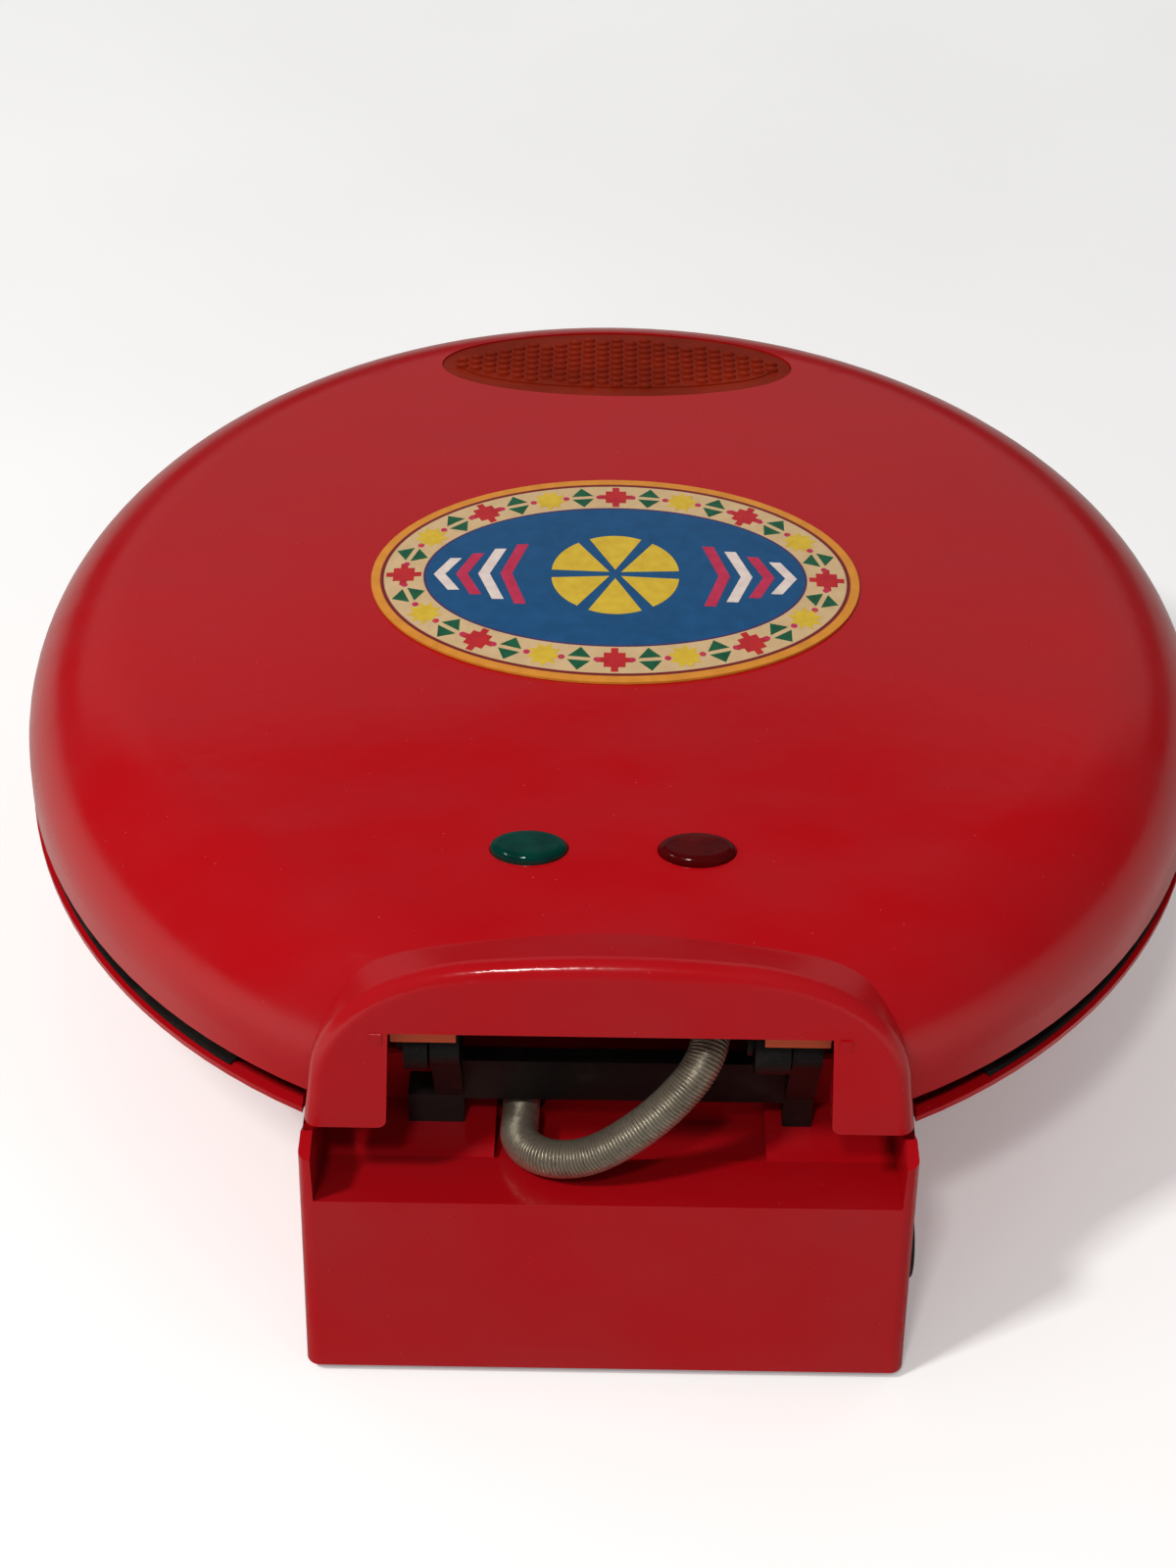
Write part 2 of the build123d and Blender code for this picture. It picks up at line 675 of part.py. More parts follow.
with BuildPart() as base_shell:
    add(bowl_section(0, foot_height, rim_z))
    revolve(axis=Axis.Z)
    add(box_body(0, foot_height, box_top_z))
    add(base_void.part, mode=Mode.SUBTRACT)
    # seat of the frame ring, just inside the rim
    seat_inner = cone_radius(frame_seat_z) - wall - seat_width
    with BuildSketch(Plane.XZ):
        Polygon(
            (seat_inner, frame_seat_z),
            (cone_radius(frame_seat_z) - wall / 2, frame_seat_z),
            (cone_radius(frame_seat_z - seat_width) - wall / 2, frame_seat_z - seat_width),
            (seat_inner, frame_seat_z - seat_width / 2),
            align=None,
        )
    revolve(axis=Axis.Z)
    # bosses that take the frame's screws, down to the bowl
    with BuildSketch(Plane.XY.offset(frame_seat_z)):
        with Locations(*base_boss_places):
            Circle(boss_radius)
    extrude(until=Until.NEXT, dir=(0, 0, -1))
    with BuildSketch(Plane.XY.offset(frame_seat_z)):
        with Locations(*base_boss_places):
            Circle(screw_hole_radius)
    extrude(amount=-screw_depth, mode=Mode.SUBTRACT)
    add(trough_liner.part)
    add(trough_body(cheek_inner, 0), mode=Mode.SUBTRACT)
    add(recess_body(0), mode=Mode.SUBTRACT)
    # scallops in the cheeks for the legs of the arch
    for side in (-1, 1):
        with BuildSketch(Plane.YZ.offset(side * (window_half_width - 1))):
            with Locations((hinge_y, hinge_z)):
                Circle(sweep_radius)
        extrude(amount=side * (arch_half_width + sweep_clearance - window_half_width + 1), mode=Mode.SUBTRACT)
    # hole of the wire guard's bush
    with BuildSketch(Plane.XZ.offset(-trough_front_y - 1)):
        with Locations((guard_base_x, guard_base_z)):
            Circle(bush_radius + bush_clearance)
    extrude(amount=wall + 2, mode=Mode.SUBTRACT)
    # holes for the screws of the hinge bracket
    with BuildSketch(Plane.XZ.offset(-trough_front_y - 1)):
        with Locations(*bracket_screw_places):
            Circle(screw_hole_radius)
    extrude(amount=wall + 2, mode=Mode.SUBTRACT)
    # hole of the mains gland, in the side of the box
    with BuildSketch(Plane.YZ.offset(-box_half_width - 1)):
        with Locations((gland_y, gland_z)):
            Circle(gland_radius + bush_clearance)
    extrude(amount=wall + 3, mode=Mode.SUBTRACT)
    # bosses and posts that take the screws of the bottom cover
    with BuildSketch(Plane.XY.offset(cover_top_z)):
        with Locations(*pedestal_boss_places):
            Circle(cover_boss_radius)
    extrude(amount=cover_boss_height)
    with BuildSketch(Plane.XY.offset(cover_top_z)):
        with Locations(*post_places):
            Circle(cover_boss_radius)
    extrude(amount=ledge_z - wall / 2 - cover_top_z)
    with BuildSketch(Plane.XY.offset(cover_top_z)):
        with Locations(*pedestal_boss_places, *post_places):
            Circle(screw_hole_radius)
    extrude(amount=screw_depth, mode=Mode.SUBTRACT)
base_shell.part.label = "base_shell"

# ---------------------------------------------------------------------------
# Bottom cover, feet and mains entry
# ---------------------------------------------------------------------------


def screw():
    """A pan-head screw standing on the origin, shank down."""
    with BuildPart() as body:
        with BuildSketch(Plane.XY):
            Circle(screw_head_radius)
        extrude(amount=screw_head_height)
        fillet(body.edges().group_by(Axis.Z)[-1], radius=screw_head_height / 2)
        with BuildSketch(Plane.XY):
            Circle(screw_radius)
        extrude(amount=0.5 - screw_depth)
        # cross slot
        with BuildSketch(Plane.XY.offset(screw_head_height)):
            Rectangle(screw_slot, screw_slot * 5)
            Rectangle(screw_slot * 5, screw_slot)
        extrude(amount=-screw_head_height / 2, mode=Mode.SUBTRACT)
    return body.part


screw_up = screw()
screw_down = Rot(180, 0, 0) * screw_up
screw_back = Rot(90, 0, 0) * screw_up

with BuildPart() as base_cover:
    with BuildSketch(Plane.XY.offset(cover_bottom_z)):
        Circle(pedestal_radius - wall - cover_gap)
        with Locations((0, (cover_front_y + cover_back_y) / 2)):
            RectangleRounded(2 * cover_half_width, cover_back_y - cover_front_y, box_corner)
        with Locations(*pedestal_boss_places, *post_places):
            Circle(screw_hole_radius, mode=Mode.SUBTRACT)
        with Locations(*foot_places):
            Circle(foot_stem_radius + pin_clearance, mode=Mode.SUBTRACT)
    extrude(amount=cover_thickness)
base_cover.part.label = "base_cover"

with BuildPart() as cover_screws:
    with Locations(*[(x, y, cover_bottom_z) for x, y in pedestal_boss_places + post_places]):
        add(screw_down)
cover_screws.part.label = "cover_screws"


def make_foot(place):
    """A rubber foot under the cover, its stem pushed through the cover."""
    with BuildPart() as foot:
        with BuildSketch(Plane.XY):
            with Locations(place):
                Circle(foot_radius)
        extrude(amount=cover_bottom_z)
        fillet(foot.edges().group_by(Axis.Z)[0], radius=foot_round)
        with BuildSketch(Plane.XY.offset(cover_bottom_z)):
            with Locations(place):
                Circle(foot_stem_radius)
        extrude(amount=cover_thickness + foot_stem_spare)
    return foot.part


with BuildPart() as foot_front_left:
    add(make_foot(foot_places[0]))
foot_front_left.part.label = "foot_front_left"

with BuildPart() as foot_front_right:
    add(make_foot(foot_places[1]))
foot_front_right.part.label = "foot_front_right"

with BuildPart() as foot_rear_left:
    add(make_foot(foot_places[2]))
foot_rear_left.part.label = "foot_rear_left"

with BuildPart() as foot_rear_right:
    add(make_foot(foot_places[3]))
foot_rear_right.part.label = "foot_rear_right"

box_taper = (box_half_width - box_top_half_width) / (box_top_z - foot_height)
gland_face_x = box_half_width - box_taper * (gland_z - gland_collar_radius - foot_height) + 0.05

with BuildPart() as mains_gland:
    with BuildSketch(Plane.YZ.offset(-gland_face_x - gland_collar)):
        with Locations((gland_y, gland_z)):
            Circle(gland_collar_radius)
    extrude(amount=gland_collar)
    with BuildSketch(Plane.YZ.offset(-gland_face_x)):
        with Locations((gland_y, gland_z)):
            Circle(gland_radius)
    extrude(amount=gland_length)
    fillet(mains_gland.edges().group_by(Axis.X)[0], radius=gland_collar / 3)
    with BuildSketch(Plane.YZ.offset(-gland_face_x - gland_collar)):
        with Locations((gland_y, gland_z)):
            Circle(gland_bore)
    extrude(amount=gland_length + gland_collar, mode=Mode.SUBTRACT)
mains_gland.part.label = "mains_gland"

with BuildPart() as terminal_block:
    with BuildSketch(Plane.XY.offset(cover_top_z)):
        with Locations(block_place):
            RectangleRounded(*block_size[:2], 1.5)
    extrude(amount=block_size[2])
    with BuildSketch(Plane.XY.offset(cover_top_z + block_size[2])):
        with Locations(block_place):
            with GridLocations(block_pitch, block_size[1] / 2, 3, 2):
                Circle(block_well)
    extrude(amount=-block_size[2] / 2, mode=Mode.SUBTRACT)
terminal_block.part.label = "terminal_block"

# ---------------------------------------------------------------------------
# Frame rings
# ---------------------------------------------------------------------------


def ring_sketch(plane, outer, boss_places):
    """A flat ring with screw holes, cut off straight before the hinge."""
    with BuildSketch(plane) as ring:
        Circle(outer)
        with Locations((0, frame_back_y + outer)):
            Rectangle(2 * ring_notch_half_width, 2 * outer, mode=Mode.SUBTRACT)
        Circle(frame_inner, mode=Mode.SUBTRACT)
        with Locations(*boss_places):
            Circle(screw_radius + pin_clearance, mode=Mode.SUBTRACT)
    return ring.sketch


with BuildPart() as base_frame:
    add(ring_sketch(Plane.XY.offset(frame_seat_z), frame_outer, base_boss_places))
    extrude(amount=frame_thickness)
base_frame.part.label = "base_frame"

with BuildPart() as base_frame_screws:
    with Locations(*[(x, y, frame_top_z) for x, y in base_boss_places]):
        add(screw_up)
base_frame_screws.part.label = "base_frame_screws"

with BuildPart() as lid_frame:
    add(ring_sketch(Plane.XY.offset(lid_frame_bottom_z), lid_frame_outer, lid_boss_places))
    extrude(amount=frame_thickness)
    # arms that carry the hinge knuckles
    for near, far in knuckle_x:
        with BuildSketch(Plane.YZ.offset(near)):
            Polygon(
                (arm_front_y, lid_frame_bottom_z),
                (hinge_y, hinge_z - knuckle_radius),
                (hinge_y, hinge_z + knuckle_radius),
                (arm_front_y, lid_frame_top_z + arm_rise),
                align=None,
            )
            with Locations((hinge_y, hinge_z)):
                Circle(knuckle_radius)
                Circle(pin_radius + pin_clearance, mode=Mode.SUBTRACT)
        extrude(amount=far - near)
    # upright wall that holds the wire guard's bush
    with BuildSketch(Plane.XY.offset(lid_frame_bottom_z)):
        with Locations((guard_lid_x, (arm_front_y + tower_back_y) / 2)):
            Rectangle(tower_width, tower_back_y - arm_front_y)
    extrude(amount=frame_thickness)
    with BuildSketch(Plane.XZ.offset(-tower_back_y)):
        with Locations((guard_lid_x, lid_frame_bottom_z)):
            Rectangle(tower_width, guard_lid_z - lid_frame_bottom_z, align=(Align.CENTER, Align.MIN))
        with Locations((guard_lid_x, guard_lid_z)):
            Circle(tower_width / 2)
    extrude(amount=tower_thickness)
    with BuildSketch(Plane.XZ.offset(-tower_back_y)):
        with Locations((guard_lid_x, guard_lid_z)):
            Circle(bush_radius + bush_clearance)
    extrude(amount=tower_thickness, mode=Mode.SUBTRACT)
    # room for the bush's collar
    with BuildSketch(Plane.XZ.offset(tower_thickness - tower_back_y)):
        with Locations((guard_lid_x, guard_lid_z)):
            Circle(bush_lip_radius + bush_clearance)
    extrude(amount=bush_lip + side_gap, mode=Mode.SUBTRACT)
lid_frame.part.label = "lid_frame"

with BuildPart() as lid_frame_screws:
    with Locations(*[(x, y, lid_frame_bottom_z) for x, y in lid_boss_places]):
        add(screw_down)
lid_frame_screws.part.label = "lid_frame_screws"

# ---------------------------------------------------------------------------
# Hinge bracket and pins
# ---------------------------------------------------------------------------

with BuildPart() as hinge_bracket:
    for near, far in bar_x:
        with BuildSketch(Plane.YZ.offset(near)):
            Polygon(
                (trough_front_y, ledge_z),
                (bracket_back_y, ledge_z),
                (bracket_back_y, bracket_knee_z),
                (hinge_y + eye_radius, hinge_z),
                (hinge_y - eye_radius, hinge_z),
                (trough_front_y, bracket_knee_z),
                align=None,
            )
            with Locations((hinge_y, hinge_z)):
                Circle(eye_radius)
                Circle(pin_radius + press_clearance, mode=Mode.SUBTRACT)
        extrude(amount=far - near)
    # the wider foot beside one bar
    with BuildSketch(Plane.XY.offset(ledge_z)):
        with Locations(((bar_x[0][1] + wide_foot_x) / 2, (trough_front_y + bracket_back_y) / 2)):
            Rectangle(wide_foot_x - bar_x[0][1], bracket_back_y - trough_front_y)
    extrude(amount=foot_block_height)
    # cross member between the bars
    with BuildSketch(Plane.YZ.offset(bar_x[1][1])):
        with Locations((bracket_back_y - cross_thickness / 2, (cross_bottom_z + cross_top_z) / 2)):
            Rectangle(cross_thickness, cross_top_z - cross_bottom_z)
    extrude(amount=bar_x[0][0] - bar_x[1][1])
    # pilot holes of the screws through the trough's wall
    with BuildSketch(Plane.XZ.offset(-trough_front_y)):
        with Locations(*bracket_screw_places):
            Circle(screw_hole_radius)
    extrude(amount=-bracket_pilot, mode=Mode.SUBTRACT)
hinge_bracket.part.label = "hinge_bracket"

with BuildPart() as bracket_screws:
    with Locations(*[(x, trough_front_y - wall, z) for x, z in bracket_screw_places]):
        add(screw_back)
bracket_screws.part.label = "bracket_screws"


def make_pin(start, end):
    """A hinge pin along X with its head at the second end."""
    with BuildPart() as pin:
        with BuildSketch(Plane.YZ.offset(start)):
            with Locations((hinge_y, hinge_z)):
                Circle(pin_radius)
        extrude(amount=end - start)
        with BuildSketch(Plane.YZ.offset(end)):
            with Locations((hinge_y, hinge_z)):
                Circle(pin_head_radius)
        extrude(amount=pin_head_height)
    return pin.part


with BuildPart() as hinge_pin_left:
    add(make_pin(bar_x[0][0], knuckle_x[0][1] + side_gap))
hinge_pin_left.part.label = "hinge_pin_left"

with BuildPart() as hinge_pin_right:
    add(make_pin(bar_x[1][0], knuckle_x[1][1] + side_gap))
hinge_pin_right.part.label = "hinge_pin_right"

# ---------------------------------------------------------------------------
# Cooking plates and heating; the upper set is the lower set turned over
# ---------------------------------------------------------------------------

meeting_z = frame_top_z + flange_thickness + plate_gap / 2
pocket_z = frame_top_z + flange_thickness - pocket_depth
under_z = pocket_z - floor_thickness
body_radius = frame_inner - plate_clearance
element_z = under_z - element_gap - element_radius
pan_top_z = under_z - reflector_gap
pan_floor_z = pan_top_z - reflector_depth + reflector_sheet
stud_places = on_circle(stud_circle, (30, 150, 270))
stud_length = reflector_gap + reflector_depth + nut_height + stud_spare
element_from = on_circle(element_circle, (element_start,))[0]
lead_angles = (element_start + lead_turn, element_start + element_turn - lead_turn)
lead_places = on_circle(element_circle, lead_angles)

with BuildPart() as lower_plate:
    with BuildSketch(Plane.XZ):
        with BuildLine():
            Polyline(
                (0, under_z),
                (body_radius - pocket_draft, under_z),
                (body_radius, frame_top_z),
                (flange_radius, frame_top_z),
                (flange_radius, frame_top_z + flange_thickness),
                (body_radius - pocket_wall, frame_top_z + flange_thickness),
                (body_radius - pocket_wall - pocket_draft, pocket_z),
                (0, pocket_z),
                (0, under_z),
            )
        make_face()
    revolve(axis=Axis.Z)
    # raised ridges that part the pocket into wedges
    with BuildSketch(Plane.XY.offset(pocket_z)):
        for k in range(wedges // 2):
            with Locations(Rot(0, 0, 360 / wedges * k)):
                Rectangle(2 * (body_radius - pocket_wall - pocket_draft / 2), ridge_width)
    with BuildSketch(Plane.XY.offset(pocket_z + pocket_depth - ridge_below_rim)):
        for k in range(wedges // 2):
            with Locations(Rot(0, 0, 360 / wedges * k)):
                Rectangle(2 * (body_radius - pocket_wall - pocket_draft / 2), ridge_top_width)
    loft(ruled=True)
    # threaded studs
    with BuildSketch(Plane.XY.offset(under_z)):
        with Locations(*stud_places):
            Circle(stud_radius)
    extrude(amount=-stud_length)
lower_plate.part.label = "lower_plate"

with BuildPart() as lower_element:
    with BuildLine():
        CenterArc((0, 0, element_z), element_circle, element_start, element_turn)
    with BuildSketch(
        Plane(
            origin=(*element_from, element_z),
            z_dir=(-math.sin(math.radians(element_start)), math.cos(math.radians(element_start)), 0),
        )
    ):
        Circle(element_radius)
    sweep()
    # terminal leads, down through the reflector
    with BuildSketch(Plane.XY.offset(element_z)):
        with Locations(*lead_places):
            Circle(lead_radius)
    extrude(amount=-lead_length)
lower_element.part.label = "lower_element"

with BuildPart() as lower_reflector:
    with BuildSketch(Plane.XY.offset(pan_top_z - reflector_depth)):
        Circle(reflector_radius)
    extrude(amount=reflector_depth)
    fillet(lower_reflector.edges().group_by(Axis.Z)[0], radius=2 * reflector_sheet)
    with BuildSketch(Plane.XY.offset(pan_floor_z)):
        Circle(reflector_radius - reflector_sheet)
    extrude(amount=reflector_depth, mode=Mode.SUBTRACT)
    with BuildSketch(Plane.XY.offset(pan_floor_z)):
        with Locations(*stud_places):
            Circle(stud_radius + pin_clearance)
        with Locations(*lead_places):
            Circle(lead_hole_radius)
    extrude(amount=-2 * reflector_sheet, mode=Mode.SUBTRACT)
lower_reflector.part.label = "lower_reflector"

with BuildPart() as lower_nuts:
    with BuildSketch(Plane.XY.offset(pan_top_z - reflector_depth)):
        with Locations(*stud_places):
            RegularPolygon(nut_radius, 6)
            Circle(stud_radius + pin_clearance, mode=Mode.SUBTRACT)
    extrude(amount=-nut_height)
lower_nuts.part.label = "lower_nuts"

with BuildPart() as thermostat:
    with BuildSketch(Plane.XY.offset(pan_floor_z)):
        Circle(sensor_radius)
    extrude(amount=sensor_height)
    with BuildSketch(Plane.XY.offset(pan_floor_z)):
        Circle(sensor_tip_radius)
    extrude(amount=pan_top_z - pan_floor_z)
thermostat.part.label = "thermostat"

with BuildPart() as thermal_fuse:
    with BuildSketch(Plane.XY.offset(pan_floor_z)):
        with Locations((0, fuse_y)):
            Rectangle(*fuse_clip)
    extrude(amount=fuse_clip[1])
    with BuildSketch(Plane.YZ.offset(-fuse_length / 2)):
        with Locations((fuse_y, pan_floor_z + fuse_clip[1] / 2)):
            Circle(fuse_radius)
    extrude(amount=fuse_length)
thermal_fuse.part.label = "thermal_fuse"

turned_over = Plane.XY.offset(meeting_z)

with BuildPart() as upper_plate:
    add(mirror(lower_plate.part, about=turned_over))
upper_plate.part.label = "upper_plate"

with BuildPart() as upper_element:
    add(mirror(lower_element.part, about=turned_over))
upper_element.part.label = "upper_element"

with BuildPart() as upper_reflector:
    add(mirror(lower_reflector.part, about=turned_over))
upper_reflector.part.label = "upper_reflector"

with BuildPart() as upper_nuts:
    add(mirror(lower_nuts.part, about=turned_over))
upper_nuts.part.label = "upper_nuts"

# ---------------------------------------------------------------------------
# Wire guard and its bushes
# ---------------------------------------------------------------------------


def make_bush(x, face_y, z, depth):
    """A bush through a wall that faces +Y, its collar on the wall's hidden side."""
    with BuildPart() as bush:
        with BuildSketch(Plane.XZ.offset(-face_y - bush_proud)):
            with Locations((x, z)):
                Circle(bush_radius)
        extrude(amount=bush_proud + depth)
        fillet(bush.edges().group_by(Axis.Y)[-1], radius=bush_proud / 2)
        with BuildSketch(Plane.XZ.offset(-face_y + depth)):
            with Locations((x, z)):
                Circle(bush_lip_radius)
        extrude(amount=bush_lip)
        with BuildSketch(Plane.XZ.offset(-face_y - bush_proud)):
            with Locations((x, z)):
                Circle(guard_radius + guard_clearance)
        extrude(amount=bush_proud + depth + bush_lip, mode=Mode.SUBTRACT)
    return bush.part


with BuildPart() as base_guard_bush:
    add(make_bush(guard_base_x, trough_front_y, guard_base_z, wall))
base_guard_bush.part.label = "base_guard_bush"

with BuildPart() as lid_guard_bush:
    add(make_bush(guard_lid_x, tower_back_y, guard_lid_z, tower_thickness))
lid_guard_bush.part.label = "lid_guard_bush"


def guard_x(share):
    """Place across the hinge at a share of the way from the base's bush to the lid's."""
    return guard_base_x + share * (guard_lid_x - guard_base_x)


# The guard loops out over the ramp, rises and turns back into the lid
guard_path = [
    (guard_x(0), trough_front_y - guard_seat, guard_base_z),
    (guard_x(0), trough_front_y + 6.0, guard_base_z),
    (guard_x(-0.01), trough_front_y + 15.2, guard_base_z + 2.6),
    (guard_x(0.136), trough_front_y + 23.0, guard_base_z + 6.0),
    (guard_x(0.37), trough_front_y + 25.0, guard_base_z + 9.0),
    (guard_x(0.605), hinge_y + 13.4, hinge_z - 14.4),
    (guard_x(0.802), hinge_y + 10.0, hinge_z - 8.0),
    (guard_x(0.946), hinge_y + 5.4, hinge_z - 2.2),
    (guard_x(1), hinge_y - 1.8, guard_lid_z),
    (guard_x(1), tower_back_y - guard_seat, guard_lid_z),
]
guard_bends = []
for before, corner, after in zip(guard_path, guard_path[1:], guard_path[2:]):
    run_in = Vector(*corner) - Vector(*before)
    run_out = Vector(*after) - Vector(*corner)
    half_turn = math.radians(run_in.get_angle(run_out)) / 2
    guard_bends.append(bend_share * min(run_in.length, run_out.length) / math.tan(half_turn))
guard_length = sum((Vector(*b) - Vector(*a)).length for a, b in zip(guard_path, guard_path[1:]))
print("wire guard route", [tuple(round(v, 3) for v in point) for point in guard_path])
print("wire guard bend radii", [round(r, 1) for r in guard_bends], "length", round(guard_length, 1))

with BuildPart() as wire_guard:
    with BuildLine() as guard_line:
        FilletPolyline(*guard_path, radius=guard_bends)
    with BuildSketch(Plane(origin=guard_line.line @ 0, z_dir=guard_line.line % 0)):
        Circle(guard_radius)
    sweep()
wire_guard.part.label = "wire_guard"
guard_volume = math.pi * guard_radius ** 2 * guard_line.wires()[0].length
print("wire guard volume", round(wire_guard.part.volume), "of", round(guard_volume))

os.makedirs("parts", exist_ok=True)
for node in (
    base_shell,
    base_cover,
    cover_screws,
    foot_front_left,
    foot_front_right,
    foot_rear_left,
    foot_rear_right,
    mains_gland,
    terminal_block,
    base_frame,
    base_frame_screws,
    hinge_bracket,
    bracket_screws,
    hinge_pin_left,
    hinge_pin_right,
    lower_plate,
    lower_element,
    lower_reflector,
    lower_nuts,
    thermostat,
    thermal_fuse,
    base_guard_bush,
    lid_shell,
    lid_frame,
    lid_frame_screws,
    upper_plate,
    upper_element,
    upper_reflector,
    upper_nuts,
    grip_insert,
    badge,
    ready_lens,
    power_lens,
    lamp_holder,
    neon_lamps,
    lid_guard_bush,
    wire_guard,
):
    export_step(node.part, f"parts/{node.part.label}.step")
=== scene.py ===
import math

import bmesh
import bpy
from mathutils import Matrix, Vector


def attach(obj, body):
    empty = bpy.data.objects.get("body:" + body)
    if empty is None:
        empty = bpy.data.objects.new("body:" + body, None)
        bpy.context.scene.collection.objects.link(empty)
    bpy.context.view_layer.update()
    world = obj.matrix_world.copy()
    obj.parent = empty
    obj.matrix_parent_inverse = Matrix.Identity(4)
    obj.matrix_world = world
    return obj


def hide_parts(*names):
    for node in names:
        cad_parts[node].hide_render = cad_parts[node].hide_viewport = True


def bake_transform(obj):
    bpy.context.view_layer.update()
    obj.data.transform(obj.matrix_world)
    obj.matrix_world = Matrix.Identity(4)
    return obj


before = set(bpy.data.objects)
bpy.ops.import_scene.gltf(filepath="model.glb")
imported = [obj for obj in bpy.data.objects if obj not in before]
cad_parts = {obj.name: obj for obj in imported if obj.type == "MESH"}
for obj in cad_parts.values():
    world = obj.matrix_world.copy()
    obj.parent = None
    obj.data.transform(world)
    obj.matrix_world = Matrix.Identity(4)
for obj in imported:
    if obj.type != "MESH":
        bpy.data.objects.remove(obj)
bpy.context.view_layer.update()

# ---------------------------------------------------------------------------
# Base shell. A bowl on a round pedestal with the hinge box behind it, moulded
# in one piece of glossy red plastic. Use has left faint wiping smears and a
# little dust on it.
# ---------------------------------------------------------------------------


def srgb(red, green, blue):
    """A colour as seen on a screen, 0 to 255, turned into light values."""
    light = []
    for part in (red, green, blue):
        part = part / 255
        light.append(part / 12.92 if part <= 0.04045 else ((part + 0.055) / 1.055) ** 2.4)
    return (*light, 1.0)


def join_node(tree, kind, settings=None, **inputs):
    """One node; its inputs, called by name or as i and a number, get values or outputs."""
    node = tree.nodes.new(kind)
    for key, value in (settings or {}).items():
        setattr(node, key, value)
    for key, value in inputs.items():
        numbered = key[0] == "i" and key[1:].isdigit()
        spot = node.inputs[int(key[1:]) if numbered else key.replace("_", " ")]
        if isinstance(value, bpy.types.NodeSocket):
            tree.links.new(value, spot)
        else:
            spot.default_value = value
    return node


def put(finish, kind, settings=None, **inputs):
    """One node in a material."""
    return join_node(finish.node_tree, kind, settings, **inputs)


def start_finish(name):
    """A new material with its shader and the place on the object in metres."""
    finish = bpy.data.materials.new(name)
    finish.use_nodes = True
    shader = finish.node_tree.nodes["Principled BSDF"]
    return finish, shader, put(finish, "ShaderNodeTexCoord").outputs["Object"]


def ramp(finish, value, low, high, to_low=0.0, to_high=1.0):
    """A value stretched from one span to another and held at its ends."""
    spans = {"i1": low, "i2": high, "i3": to_low, "i4": to_high}
    return put(finish, "ShaderNodeMapRange", {"clamp": True}, Value=value, **spans).outputs[0]


def cloud(finish, place, scale, low=0.35, high=0.65, detail=3.0, stretch=(1, 1, 1)):
    """Soft random patches, 0 to 1; scale is in patches to the metre."""
    moved = put(finish, "ShaderNodeMapping", Vector=place, Scale=stretch).outputs[0]
    grain = put(finish, "ShaderNodeTexNoise", Vector=moved, Scale=scale, Detail=detail)
    return ramp(finish, grain.outputs[0], low, high)


def times(finish, one, other):
    """Two values multiplied."""
    return put(finish, "ShaderNodeMath", {"operation": "MULTIPLY"}, i0=one, i1=other).outputs[0]


def specks(finish, place, scale, size, rarity, core=0.6, step=0.02):
    """Scattered small round dots, 1 in a dot's core; rarity is the share left out."""
    cells = put(finish, "ShaderNodeTexVoronoi", Vector=place, Scale=scale)
    near = ramp(finish, cells.outputs["Distance"], size, size * core)
    chosen = put(finish, "ShaderNodeSeparateColor", Color=cells.outputs["Color"]).outputs[0]
    return times(finish, near, ramp(finish, chosen, rarity, rarity + step))


def mixed(finish, amount, one, other):
    """One colour going over to the other."""
    node = put(finish, "ShaderNodeMix", {"data_type": "RGBA"}, i0=amount, i6=one, i7=other)
    return node.outputs[2]


def marked(finish, colour, amount, share, mark):
    """A colour that takes on the given share of a mark's colour where the amount is 1."""
    return mixed(finish, times(finish, amount, share), colour, mark)


def lead(finish, shader, **sockets):
    """Outputs led into the shader's sockets by name."""
    for key, value in sockets.items():
        finish.node_tree.links.new(value, shader.inputs[key.replace("_", " ")])


def roughness(finish, shader, amount, bare, full):
    """The shader's roughness, from bare where the amount is 0 to full where it is 1."""
    lead(finish, shader, Roughness=ramp(finish, amount, 0, 1, bare, full))


def relief(finish, shader, height, depth):
    """Raised and sunk detail of the given depth in metres."""
    bump = put(finish, "ShaderNodeBump", Height=height, Distance=depth, Strength=1.0)
    lead(finish, shader, Normal=bump.outputs[0])


def dress(finish, *nodes):
    """The finish laid on CAD nodes."""
    for name in nodes:
        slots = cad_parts[name].data.materials
        slots.clear()
        slots.append(finish)


red, shader, place = start_finish("glossy_red_plastic")
tint = cloud(red, place, scale=9.0, low=0.3, high=0.7)
colour = mixed(red, tint, srgb(176, 5, 15), srgb(168, 7, 17))
smear = cloud(red, place, scale=26.0, low=0.35, high=0.75, detail=5.0, stretch=(1, 2.2, 1))
colour = marked(red, colour, smear, share=0.25, mark=srgb(158, 34, 40))
dust = specks(red, place, scale=420.0, size=0.08, rarity=0.86)
colour = marked(red, colour, dust, share=0.3, mark=srgb(205, 120, 120))
lead(red, shader, Base_Color=colour)
roughness(red, shader, smear, bare=0.15, full=0.24)
ripple = cloud(red, place, scale=260.0, low=0.2, high=0.8, detail=2.0)
relief(red, shader, ripple, depth=0.00002)
dress(red, "base_shell")

# ---------------------------------------------------------------------------
# Bottom cover, lamp holder, cable inlet and feet. The cover, screwed on from
# below, and the holder are black plastic with a leather-like moulded grain; the
# feet and the inlet's grommet are soft black rubber pushed into their holes.
# ---------------------------------------------------------------------------

